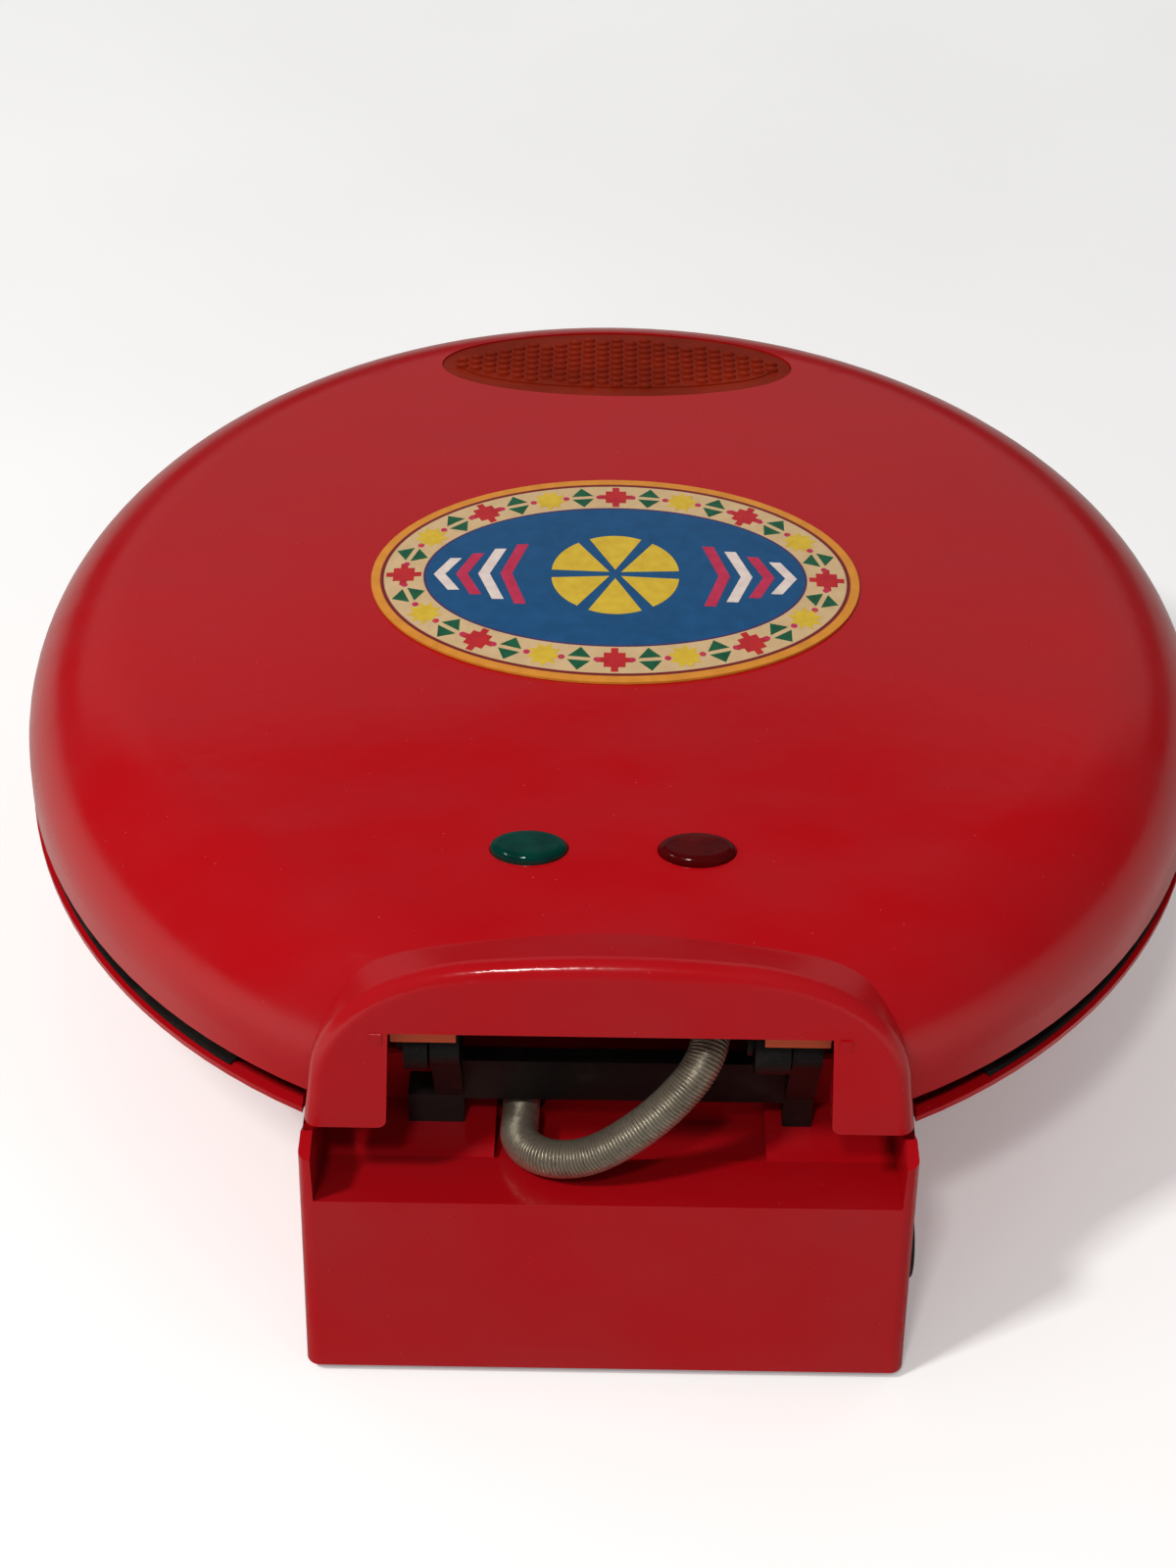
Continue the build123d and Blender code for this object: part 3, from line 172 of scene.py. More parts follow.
grained, shader, place = start_finish("grained_black_plastic")
grain = put(grained, "ShaderNodeTexVoronoi", Vector=place, Scale=900.0).outputs["Distance"]
tone = cloud(grained, place, scale=14.0)
lead(grained, shader, Base_Color=mixed(grained, tone, srgb(26, 25, 25), srgb(36, 35, 34)))
roughness(grained, shader, tone, bare=0.5, full=0.62)
relief(grained, shader, grain, depth=0.00012)
dress(grained, "base_cover", "lamp_holder")

rubber, shader, place = start_finish("soft_black_rubber")
tone = cloud(rubber, place, scale=240.0, low=0.3, high=0.7, detail=5.0)
lead(rubber, shader, Base_Color=mixed(rubber, tone, srgb(24, 24, 24), srgb(44, 43, 41)))
roughness(rubber, shader, tone, bare=0.72, full=0.9)
relief(rubber, shader, tone, depth=0.00008)
dress(rubber, "foot_front_left", "foot_front_right", "foot_rear_left", "foot_rear_right")
dress(rubber, "mains_gland")

# ---------------------------------------------------------------------------
# Screws, nuts and hinge pins. Stock steel hardware: the screws and nuts have a
# thin zinc plating, dulled and slightly stained by the warm air round the plates,
# and the bare pins are browned, with paler rubbed spots.
# ---------------------------------------------------------------------------

zinc, shader, place = start_finish("zinc_plated_steel")
flakes = put(zinc, "ShaderNodeTexVoronoi", Vector=place, Scale=1500.0).outputs["Color"]
flake = put(zinc, "ShaderNodeSeparateColor", Color=flakes).outputs[0]
stain = cloud(zinc, place, scale=180.0, low=0.45, high=0.7)
colour = mixed(zinc, flake, srgb(168, 168, 170), srgb(196, 196, 198))
colour = marked(zinc, colour, stain, share=0.6, mark=srgb(120, 104, 84))
lead(zinc, shader, Base_Color=colour)
roughness(zinc, shader, flake, bare=0.26, full=0.42)
shader.inputs["Metallic"].default_value = 1.0
dress(zinc, "cover_screws", "base_frame_screws", "lid_frame_screws", "bracket_screws")
dress(zinc, "lower_nuts", "upper_nuts")

pin_steel, shader, place = start_finish("browned_pin_steel")
rub = cloud(pin_steel, place, scale=260.0, low=0.4, high=0.7, detail=4.0)
lead(pin_steel, shader, Base_Color=mixed(pin_steel, rub, srgb(46, 42, 38), srgb(82, 76, 68)))
roughness(pin_steel, shader, rub, bare=0.55, full=0.42)
shader.inputs["Metallic"].default_value = 0.8
dress(pin_steel, "hinge_pin_left", "hinge_pin_right")

# ---------------------------------------------------------------------------
# Terminal block and thermostat. Cream electrical ceramic and plastic, matt,
# with a faint speckle and brown warming near the plate.
# ---------------------------------------------------------------------------

ceramic, shader, place = start_finish("cream_ceramic")
tone = cloud(ceramic, place, scale=90.0)
pit = specks(ceramic, place, scale=1200.0, size=0.25, rarity=0.7)
colour = mixed(ceramic, tone, srgb(214, 206, 186), srgb(190, 172, 142))
lead(ceramic, shader, Base_Color=mixed(ceramic, pit, colour, srgb(120, 104, 84)))
roughness(ceramic, shader, tone, bare=0.45, full=0.65)
relief(ceramic, shader, tone, depth=0.00005)
dress(ceramic, "terminal_block", "thermostat")

# ---------------------------------------------------------------------------
# Frame rings, hinge bracket and guard bushes. Black heat-proof moulding compound,
# pressed hot: slightly brownish, satin, with fine filler flecks and pale rubbed
# spots where the hinge turns.
# ---------------------------------------------------------------------------

compound, shader, place = start_finish("black_moulding_compound")
fleck = specks(compound, place, scale=1600.0, size=0.3, rarity=0.6)
rubbed = cloud(compound, place, scale=120.0, low=0.56, high=0.74, detail=6.0)
tone = cloud(compound, place, scale=40.0)
colour = mixed(compound, tone, srgb(19, 18, 17), srgb(27, 25, 23))
colour = marked(compound, colour, rubbed, share=0.4, mark=srgb(56, 51, 46))
colour = marked(compound, colour, fleck, share=0.5, mark=srgb(62, 56, 50))
lead(compound, shader, Base_Color=colour)
roughness(compound, shader, rubbed, bare=0.46, full=0.62)
shader.inputs["Specular IOR Level"].default_value = 0.3
relief(compound, shader, cloud(compound, place, scale=500.0, low=0.2, high=0.8), depth=0.00005)
dress(compound, "base_frame", "lid_frame", "hinge_bracket", "base_guard_bush", "lid_guard_bush")

# ---------------------------------------------------------------------------
# Edge of the lower frame ring. A thin flange of the same black compound that runs
# out over the gap beside the ring and lies on the red rim, and stops at the hinge
# box. It is a dark sheet that stands in for the shade in the gap below the lid,
# and it leaves only a narrow red lip to be seen.
# ---------------------------------------------------------------------------


def set_down(name, data):
    """A new object with its mesh, curve, lamp or camera, linked to the scene."""
    item = bpy.data.objects.new(name, data)
    bpy.context.scene.collection.objects.link(item)
    return item


# the corners of the flange's section, each with its radius and its height
flange_section = (
    (0.1312, 0.07106),
    (0.1312, 0.07136),
    (0.1316, 0.07156),
    (0.1381, 0.07156),
    (0.1386, 0.07138),
    (0.1388, 0.07112),
    (0.1388, 0.07092),
    (0.1372, 0.07090),
)
# how far it goes round to each side, and how far out it stays beside the arch
flange_reach = math.radians(144.5)
beside_arch = 0.0776
flange_steps = 160
corners = len(flange_section)
flange_points = []
flange_faces = []
for k in range(flange_steps + 1):
    swing = -flange_reach + 2 * flange_reach * k / flange_steps
    for r, z in flange_section:
        if math.cos(swing) < 0:
            r = max(r, beside_arch / abs(math.sin(swing)))
        flange_points.append((r * math.sin(swing), -r * math.cos(swing), z))
for k in range(flange_steps):
    for j in range(corners):
        here, beside = k * corners + j, k * corners + (j + 1) % corners
        flange_faces.append((here, beside, beside + corners, here + corners))
flange_faces.append(tuple(reversed(range(corners))))
flange_faces.append(tuple(range(flange_steps * corners, (flange_steps + 1) * corners)))
flange_mesh = bpy.data.meshes.new("frame_edge_shade_sheet")
flange_mesh.from_pydata(flange_points, [], flange_faces)
shape = bmesh.new()
shape.from_mesh(flange_mesh)
bmesh.ops.recalc_face_normals(shape, faces=shape.faces[:])
shape.to_mesh(flange_mesh)
shape.free()
flange_mesh.materials.append(compound)
# a black sheet over the rim that stands in for the shade in the gap under the lid
frame_edge_shade_sheet = set_down("frame_edge_shade_sheet", flange_mesh)
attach(frame_edge_shade_sheet, "base")

# ---------------------------------------------------------------------------
# Cooking plates. Cast aluminium, sprayed with a dark non-stick coating that has
# a fine pebbled surface; a little browned oil has baked on near the ridges.
# ---------------------------------------------------------------------------

coating, shader, place = start_finish("nonstick_coating")
pebble = cloud(coating, place, scale=1100.0, low=0.25, high=0.75, detail=2.0)
baked = cloud(coating, place, scale=22.0, low=0.52, high=0.72, detail=6.0)
glint = specks(coating, place, scale=2200.0, size=0.3, rarity=0.8)
colour = mixed(coating, pebble, srgb(44, 43, 44), srgb(58, 57, 58))
colour = marked(coating, colour, baked, share=0.55, mark=srgb(58, 40, 26))
colour = marked(coating, colour, glint, share=0.5, mark=srgb(110, 108, 106))
lead(coating, shader, Base_Color=colour)
roughness(coating, shader, baked, bare=0.42, full=0.28)
relief(coating, shader, pebble, depth=0.00004)
dress(coating, "lower_plate", "upper_plate")

# ---------------------------------------------------------------------------
# Heating elements. Bent steel tubes that glow for hours, so their sheath is
# oxidised grey-brown with straw and blue temper bands.
# ---------------------------------------------------------------------------

sheath, shader, place = start_finish("oxidised_sheath")
band = cloud(sheath, place, scale=30.0, low=0.35, high=0.65, detail=2.0)
crust = cloud(sheath, place, scale=420.0, low=0.4, high=0.7, detail=6.0)
colour = mixed(sheath, band, srgb(120, 98, 74), srgb(88, 92, 108))
colour = marked(sheath, colour, crust, share=0.7, mark=srgb(60, 54, 50))
lead(sheath, shader, Base_Color=colour)
roughness(sheath, shader, crust, bare=0.38, full=0.6)
shader.inputs["Metallic"].default_value = 0.85
dress(sheath, "lower_element", "upper_element")

# ---------------------------------------------------------------------------
# Reflector pans and thermal fuse. Bare rolled aluminium, pressed to shape: fine
# streaks run with the rolling direction, and some patches have gone dull.
# ---------------------------------------------------------------------------

rolled, shader, place = start_finish("rolled_aluminium")
streak = cloud(rolled, place, scale=500.0, low=0.3, high=0.7, detail=3.0, stretch=(0.04, 1, 1))
dull = cloud(rolled, place, scale=18.0)
colour = mixed(rolled, streak, srgb(196, 197, 199), srgb(214, 214, 215))
colour = marked(rolled, colour, dull, share=0.4, mark=srgb(160, 152, 140))
lead(rolled, shader, Base_Color=colour)
roughness(rolled, shader, streak, bare=0.24, full=0.4)
relief(rolled, shader, streak, depth=0.00001)
shader.inputs["Metallic"].default_value = 1.0
dress(rolled, "lower_reflector", "upper_reflector", "thermal_fuse")

# ---------------------------------------------------------------------------
# Lid shell. The shallow domed cover with its hinge arch, of the same glossy red
# plastic as the base. The lower edges of the two ribs in the arch's window are
# painted orange: painted light where the light catches them.
# ---------------------------------------------------------------------------


def inside(finish, place, centre, half):
    """1 inside an upright box, given by its middle and half sizes."""
    gap = put(finish, "ShaderNodeVectorMath", {"operation": "SUBTRACT"}, i0=place, i1=centre)
    gap = put(finish, "ShaderNodeVectorMath", {"operation": "ABSOLUTE"}, i0=gap.outputs[0])
    parts = put(finish, "ShaderNodeSeparateXYZ", Vector=gap.outputs[0]).outputs
    mask = 1.0
    for part, reach in zip(parts, half):
        within = put(finish, "ShaderNodeMath", {"operation": "LESS_THAN"}, i0=part, i1=reach)
        mask = times(finish, mask, within.outputs[0])
    return mask


rib_out, rib_back, rib_up = 0.0382, 0.123, 0.0934
rib_half = (0.0069, 0.0014, 0.0024)
lid_red = red.copy()
lid_red.name = "glossy_red_lid_plastic_painted_rib_light"
shader = lid_red.node_tree.nodes["Principled BSDF"]
place = put(lid_red, "ShaderNodeTexCoord").outputs["Object"]
colour = shader.inputs["Base Color"].links[0].from_socket
# painted light: the lower edges of both ribs are painted orange where light catches them
for side in (-1, 1):
    rib_light_mask = inside(lid_red, place, (side * rib_out, rib_back, rib_up), rib_half)
    colour = mixed(lid_red, rib_light_mask, colour, srgb(186, 74, 40))
lead(lid_red, shader, Base_Color=colour)
dress(lid_red, "lid_shell")

# ---------------------------------------------------------------------------
# Grip insert. An oval of satin brick-brown plastic set in the front of the lid,
# with a flat border and a pointed field of small raised dashes in staggered rows
# that keep a thumb from slipping.
# ---------------------------------------------------------------------------

brick, shader, place = start_finish("brick_brown_plastic")
tone = cloud(brick, place, scale=60.0)
lead(brick, shader, Base_Color=mixed(brick, tone, srgb(138, 33, 9), srgb(120, 27, 6)))
roughness(brick, shader, tone, bare=0.44, full=0.58)
shader.inputs["Specular IOR Level"].default_value = 0.18
relief(brick, shader, cloud(brick, place, scale=700.0, low=0.2, high=0.8), depth=0.00004)
dress(brick, "grip_insert")


def start_tree(name, **sizes):
    """An empty geometry tree with named inputs; gives the tree, its inputs and its end."""
    tree = bpy.data.node_groups.new(name, "GeometryNodeTree")
    tree.interface.new_socket("Geometry", in_out="INPUT", socket_type="NodeSocketGeometry")
    for key, value in sizes.items():
        kind = "NodeSocketInt" if isinstance(value, int) else "NodeSocketFloat"
        tree.interface.new_socket(key, in_out="INPUT", socket_type=kind).default_value = value
    tree.interface.new_socket("Finish", in_out="INPUT", socket_type="NodeSocketMaterial")
    tree.interface.new_socket("Geometry", in_out="OUTPUT", socket_type="NodeSocketGeometry")
    given = tree.nodes.new("NodeGroupInput").outputs
    return tree, given, tree.nodes.new("NodeGroupOutput").inputs[0]


def end_tree(tree, given, end, geometry):
    """Makes the copies real, gives them the finish and leads them out of the tree."""
    solid = join_node(tree, "GeometryNodeRealizeInstances", Geometry=geometry)
    dressed = join_node(
        tree, "GeometryNodeSetMaterial", Geometry=solid.outputs[0], Material=given["Finish"]
    )
    tree.links.new(dressed.outputs[0], end)


def worked_out(tree, one, operation, other):
    """Two numbers put together by an operation."""
    return join_node(tree, "ShaderNodeMath", {"operation": operation}, i0=one, i1=other).outputs[0]


def compared(tree, one, operation, other, **inputs):
    """True where the comparison of two numbers holds."""
    settings = {"operation": operation}
    node = join_node(tree, "FunctionNodeCompare", settings, i0=one, i1=other, **inputs)
    return node.outputs[0]


def shifted(tree, geometry, offset):
    """The geometry with its points moved by an offset."""
    node = join_node(tree, "GeometryNodeSetPosition", Geometry=geometry, Offset=offset)
    return node.outputs[0]


def where(tree):
    """The x, y and z of each point."""
    spot = join_node(tree, "GeometryNodeInputPosition").outputs[0]
    return join_node(tree, "ShaderNodeSeparateXYZ", Vector=spot).outputs


def grow(piece_name, seed_data, tree, finish, **values):
    """Runs a tree on a piece's starting data and keeps the result as a plain mesh."""
    values["Finish"] = finish
    seed = set_down(piece_name + "_seed", seed_data)
    step = seed.modifiers.new("grow", "NODES")
    step.node_group = tree
    for item in tree.interface.items_tree:
        if item.in_out == "INPUT" and item.name in values:
            step[item.identifier] = values[item.name]
    bpy.context.view_layer.update()
    made = seed.evaluated_get(bpy.context.evaluated_depsgraph_get())
    mesh = bpy.data.meshes.new_from_object(made)
    seed.modifiers.remove(step)
    bpy.data.objects.remove(seed)
    mesh.materials.clear()
    mesh.materials.append(finish)
    return set_down(piece_name, mesh)


def smooth_sides(piece):
    """Round faces that shade as one surface."""
    for side in piece.data.polygons:
        side.use_smooth = True


dome_radius = 1.209
crown = 0.1168


def dome_height(x, y, above):
    """Height of a point that lies the given distance outside the lid's dome."""
    return crown - dome_radius + math.sqrt((dome_radius + above) ** 2 - x * x - y * y)


tree, given, end = start_tree(
    "dash_field",
    Columns=23,
    Rows=11,
    Column_Pitch=0.0037,
    Row_Pitch=0.0031,
    Reach=0.0436,
    Depth=0.0131,
    Forward=-0.0986,
    Dash_Half_Long=0.00165,
    Dash_Half_Wide=0.0007,
    Dash_Half_High=0.0011,
)
column_gaps = worked_out(tree, given["Columns"], "SUBTRACT", 1)
row_gaps = worked_out(tree, given["Rows"], "SUBTRACT", 1)
grid = join_node(
    tree,
    "GeometryNodeMeshGrid",
    Size_X=worked_out(tree, column_gaps, "MULTIPLY", given["Column_Pitch"]),
    Size_Y=worked_out(tree, row_gaps, "MULTIPLY", given["Row_Pitch"]),
    Vertices_X=given["Columns"],
    Vertices_Y=given["Rows"],
)
# every other column is moved on by half a pitch
column = worked_out(tree, where(tree)[0], "DIVIDE", given["Column_Pitch"])
column = join_node(tree, "ShaderNodeMath", {"operation": "ROUND"}, i0=column).outputs[0]
odd = worked_out(tree, column, "FLOORED_MODULO", 2.0)
half_pitch = worked_out(tree, given["Row_Pitch"], "MULTIPLY", 0.5)
stagger = worked_out(tree, odd, "MULTIPLY", half_pitch)
stagger = join_node(tree, "ShaderNodeCombineXYZ", Y=stagger).outputs[0]
staggered = shifted(tree, grid.outputs[0], stagger)
# the field is a pointed oval: its half depth falls off to nothing at both ends
x, y, _ = where(tree)
along = worked_out(tree, x, "DIVIDE", given["Reach"])
fullness = worked_out(tree, 1.0, "SUBTRACT", worked_out(tree, along, "MULTIPLY", along))
limit = worked_out(tree, fullness, "MULTIPLY", given["Depth"])
away = join_node(tree, "ShaderNodeMath", {"operation": "ABSOLUTE"}, i0=y).outputs[0]
outside = compared(tree, away, "GREATER_THAN", limit)
kept = join_node(tree, "GeometryNodeDeleteGeometry", Geometry=staggered, Selection=outside)
forward = join_node(tree, "ShaderNodeCombineXYZ", Y=given["Forward"]).outputs[0]
field = shifted(tree, kept.outputs[0], forward)
dash = join_node(tree, "GeometryNodeMeshUVSphere", Segments=12, Rings=6, Radius=1.0)
dash_half = join_node(
    tree,
    "ShaderNodeCombineXYZ",
    X=given["Dash_Half_Long"],
    Y=given["Dash_Half_Wide"],
    Z=given["Dash_Half_High"],
)
dash = join_node(
    tree, "GeometryNodeTransform", Geometry=dash.outputs[0], Scale=dash_half.outputs[0]
)
dashes = join_node(
    tree, "GeometryNodeInstanceOnPoints", Points=field, Instance=dash.outputs[0]
)
end_tree(tree, given, end, dashes.outputs[0])

dash_sunk = 0.0001
grip_dashes = grow("grip_dashes", bpy.data.meshes.new("dash_start"), tree, brick)
for spot in grip_dashes.data.vertices:
    spot.co.z += dome_height(spot.co.x, spot.co.y, -dash_sunk)
smooth_sides(grip_dashes)
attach(grip_dashes, "lid")

# ---------------------------------------------------------------------------
# Badge. A printed oval film in the middle of the lid: a gold edge, a dark red
# line, a cream border with small motifs and a blue field. The drawing on it is
# plain ornament: a six-wedge round, chevrons, suns, arrows and stepped diamonds.
# ---------------------------------------------------------------------------


def oval(finish, place, half_x, half_y, edge=0.003):
    """1 inside an upright oval round the origin."""
    shrink = (1 / half_x, 1 / half_y, 0)
    flat = put(finish, "ShaderNodeVectorMath", {"operation": "MULTIPLY"}, i0=place, i1=shrink)
    away = put(finish, "ShaderNodeVectorMath", {"operation": "LENGTH"}, i0=flat.outputs[0])
    return ramp(finish, away.outputs["Value"], 1 + edge, 1 - edge)


badge_half_x, badge_half_y = 0.057, 0.039
film, shader, place = start_finish("printed_film")
paper = cloud(film, place, scale=320.0, low=0.3, high=0.7, detail=4.0)
gold = mixed(film, paper, srgb(216, 140, 46), srgb(202, 128, 40))
cream = mixed(film, paper, srgb(208, 176, 132), srgb(198, 166, 122))
blue = mixed(film, paper, srgb(14, 78, 126), srgb(10, 70, 114))
# each colour covers all that lies further in from the edge than its inset
inner_colours = (
    (0.0021, srgb(112, 24, 30)),
    (0.0030, cream),
    (0.0122, srgb(70, 30, 84)),
    (0.0127, blue),
)
colour = gold
for inset, ink in inner_colours:
    covered = oval(film, place, badge_half_x - inset, badge_half_y - inset)
    colour = mixed(film, covered, colour, ink)
lead(film, shader, Base_Color=colour)
roughness(film, shader, cloud(film, place, scale=30.0), bare=0.24, full=0.36)
relief(film, shader, paper, depth=0.00001)
dress(film, "badge")


def ink_finish(name, colour, shade):
    """Printing ink with a little uneven cover."""
    finish, shader, place = start_finish(name)
    cover = cloud(finish, place, scale=420.0, low=0.3, high=0.7, detail=4.0)
    lead(finish, shader, Base_Color=mixed(finish, cover, colour, shade))
    roughness(finish, shader, cover, bare=0.26, full=0.38)
    return finish


leaf_ink = ink_finish("green_ink", srgb(20, 92, 60), srgb(14, 76, 50))
sun_ink = ink_finish("yellow_ink", srgb(214, 180, 50), srgb(200, 164, 42))
red_ink = ink_finish("red_ink", srgb(188, 34, 34), srgb(170, 26, 40))
rose_ink = ink_finish("rose_ink", srgb(190, 44, 80), srgb(176, 34, 68))
pale_ink = ink_finish("pale_ink", srgb(226, 210, 200), srgb(210, 192, 186))


def flat_shape(outlines):
    """A thin print from closed outlines of points in metres."""
    mesh = bpy.data.meshes.new("print")
    shape = bmesh.new()
    for outline in outlines:
        face = shape.faces.new([shape.verts.new((x, y, 0.0)) for x, y in outline])
        face.normal_update()
        if face.normal.z < 0:
            face.normal_flip()
    bmesh.ops.triangulate(shape, faces=shape.faces[:])
    shape.to_mesh(mesh)
    shape.free()
    return mesh


def star(points, outer, inner):
    """The outline of a star."""
    outline = []
    for k in range(2 * points):
        radius = outer if k % 2 == 0 else inner
        angle = math.pi * k / points
        outline.append((radius * math.cos(angle), radius * math.sin(angle)))
    return outline


def arrow(way, half=0.0026, foot=0.0006, tip=0.0040):
    """The outline of a broad triangle that points across the border."""
    return [(-half, way * foot), (half, way * foot), (0.0, way * tip)]


def diamond_steps(size):
    """A stepped diamond, five blocks across."""
    block = size / 5
    outline = []
    for quarter in range(4):
        turn = math.pi / 2 * quarter
        for x, y in ((2.5, 0.5), (1.5, 0.5), (1.5, 1.5), (0.5, 1.5), (0.5, 2.5)):
            across = x * math.cos(turn) - y * math.sin(turn)
            up = x * math.sin(turn) + y * math.cos(turn)
            outline.append((block * across, block * up))
    return outline


# a row of prints round an oval: of all its places, one in so many is used
tree, given, end = start_tree(
    "oval_row", Half_X=0.0494, Half_Y=0.0314, Places=32, Every=4, Which=0
)
ring = join_node(tree, "GeometryNodeCurvePrimitiveCircle", Resolution=128, Radius=1.0)
spread = join_node(tree, "ShaderNodeCombineXYZ", X=given["Half_X"], Y=given["Half_Y"], Z=1.0)
ring = join_node(
    tree, "GeometryNodeTransform", Geometry=ring.outputs[0], Scale=spread.outputs[0]
)
steps = join_node(
    tree, "GeometryNodeResampleCurve", Curve=ring.outputs[0], Count=given["Places"]
)
number = join_node(tree, "GeometryNodeInputIndex").outputs[0]
left_over = worked_out(tree, number, "FLOORED_MODULO", given["Every"])
chosen = compared(tree, left_over, "EQUAL", given["Which"], Epsilon=0.01)
tangent = join_node(tree, "GeometryNodeInputTangent").outputs[0]
facing = join_node(
    tree, "FunctionNodeAlignRotationToVector", {"axis": "X"}, Vector=tangent
)
row = join_node(
    tree,
    "GeometryNodeInstanceOnPoints",
    Points=steps.outputs[0],
    Selection=chosen,
    Instance=given["Geometry"],
    Rotation=facing.outputs[0],
)
end_tree(tree, given, end, row.outputs[0])

film_top = 0.0007
print_lift = 0.00001
print_thickness = 0.00003


def lay_on_badge(piece):
    """Bends a flat print onto the film and gives it its thickness."""
    for spot in piece.data.vertices:
        spot.co.z = dome_height(spot.co.x, spot.co.y, film_top + print_lift)
    shape = bmesh.new()
    shape.from_mesh(piece.data)
    shell = bmesh.ops.extrude_face_region(shape, geom=shape.faces[:])
    for item in shell["geom"]:
        if isinstance(item, bmesh.types.BMVert):
            item.co.z += print_thickness
    bmesh.ops.recalc_face_normals(shape, faces=shape.faces[:])
    shape.to_mesh(piece.data)
    shape.free()
    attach(piece, "lid")


border_prints = (
    ("border_diamonds", [diamond_steps(size=0.0082)], red_ink, {"Which": 0}),
    ("border_arrows", [arrow(1), arrow(-1)], leaf_ink, {"Which": 1}),
    ("border_suns", [star(points=9, outer=0.0041, inner=0.0026)], sun_ink, {"Which": 2}),
    ("border_darts", [arrow(1), arrow(-1)], leaf_ink, {"Which": 3}),
    (
        "border_dots",
        [star(points=8, outer=0.0008, inner=0.00075)],
        rose_ink,
        {"Places": 64, "Every": 2, "Which": 1},
    ),
)
for name, outlines, ink, counts in border_prints:
    lay_on_badge(grow(name, flat_shape(outlines), tree, ink, **counts))

# the round of six wedges, opened a little
wedge_opening = 0.0016
wedge_radius = 0.0135
wedge_degrees = range(-27, 28, 6)
wedges = []
for k in range(6):
    middle = math.pi / 3 * k + math.pi / 6
    tip_x, tip_y = wedge_opening * math.cos(middle), wedge_opening * math.sin(middle)
    outline = [(tip_x, tip_y)]
    for degrees in wedge_degrees:
        angle = middle + math.radians(degrees)
        rim_x = tip_x + wedge_radius * math.cos(angle)
        outline.append((rim_x, tip_y + wedge_radius * math.sin(angle)))
    wedges.append(outline)

# chevrons on both sides of it, in turn rose and pale, that get lower outwards
chevron_start, chevron_pitch = 0.0205, 0.0052
chevron_high, chevron_fall = 0.0115, 0.0018
chevron_wide, chevron_point = 0.0027, 0.0036
rose_chevrons, pale_chevrons = [], []
for side in (-1, 1):
    for k in range(4):
        x = side * (chevron_start + chevron_pitch * k)
        high = chevron_high - chevron_fall * k
        outline = [
            (x, high),
            (x + side * chevron_wide, high),
            (x + side * (chevron_wide + chevron_point), 0),
            (x + side * chevron_wide, -high),
            (x, -high),
            (x + side * chevron_point, 0),
        ]
        (pale_chevrons if k % 2 else rose_chevrons).append(outline)

middle_prints = (
    ("badge_wedges", wedges, sun_ink),
    ("badge_chevrons_rose", rose_chevrons, rose_ink),
    ("badge_chevrons_pale", pale_chevrons, pale_ink),
)
for name, outlines, ink in middle_prints:
    print_piece = set_down(name, flat_shape(outlines))
    print_piece.data.materials.append(ink)
    lay_on_badge(print_piece)

# ---------------------------------------------------------------------------
# Signal lenses and lamps. Clear tinted plastic, polished, green for ready and
# dark red for power; behind each stands a small neon lamp of clear glass.
# ---------------------------------------------------------------------------

for name, node, deep, light in (
    ("green_lens_plastic", "ready_lens", srgb(0, 50, 44), srgb(2, 70, 60)),
    ("red_lens_plastic", "power_lens", srgb(76, 0, 2), srgb(98, 6, 6)),
):
    lens, shader, place = start_finish(name)
    swirl = cloud(lens, place, scale=180.0, low=0.3, high=0.7, detail=2.0)
    lead(lens, shader, Base_Color=mixed(lens, swirl, deep, light))
    roughness(lens, shader, cloud(lens, place, scale=600.0), bare=0.06, full=0.14)
    relief(lens, shader, swirl, depth=0.00003)
    shader.inputs["Transmission Weight"].default_value = 0.35
    shader.inputs["IOR"].default_value = 1.49
    shader.inputs["Coat Weight"].default_value = 0.12
    shader.inputs["Coat Roughness"].default_value = 0.03
    shader.inputs["Specular IOR Level"].default_value = 0.22
    dress(lens, node)

glass, shader, place = start_finish("lamp_glass")
tone = cloud(glass, place, scale=300.0)
lead(glass, shader, Base_Color=mixed(glass, tone, srgb(240, 224, 206), srgb(232, 200, 170)))
shader.inputs["Transmission Weight"].default_value = 0.9
shader.inputs["Roughness"].default_value = 0.05
dress(glass, "neon_lamps")

# ---------------------------------------------------------------------------
# Wire guard. A tight spring of round steel wire, wound turn against turn, that
# protects the supply wires where they pass from the base into the turning lid.
# Its ends sit in the two bushes.
# ---------------------------------------------------------------------------

steel_wire, shader, place = start_finish("spring_steel_wire")
tarnish = cloud(steel_wire, place, scale=70.0, low=0.35, high=0.65, detail=4.0)
pit = cloud(steel_wire, place, scale=900.0, low=0.5, high=0.7, detail=5.0)
colour = mixed(steel_wire, tarnish, srgb(206, 196, 176), srgb(178, 168, 148))
colour = marked(steel_wire, colour, pit, share=0.5, mark=srgb(120, 112, 98))
lead(steel_wire, shader, Base_Color=colour)
roughness(steel_wire, shader, pit, bare=0.38, full=0.5)
shader.inputs["Metallic"].default_value = 0.85

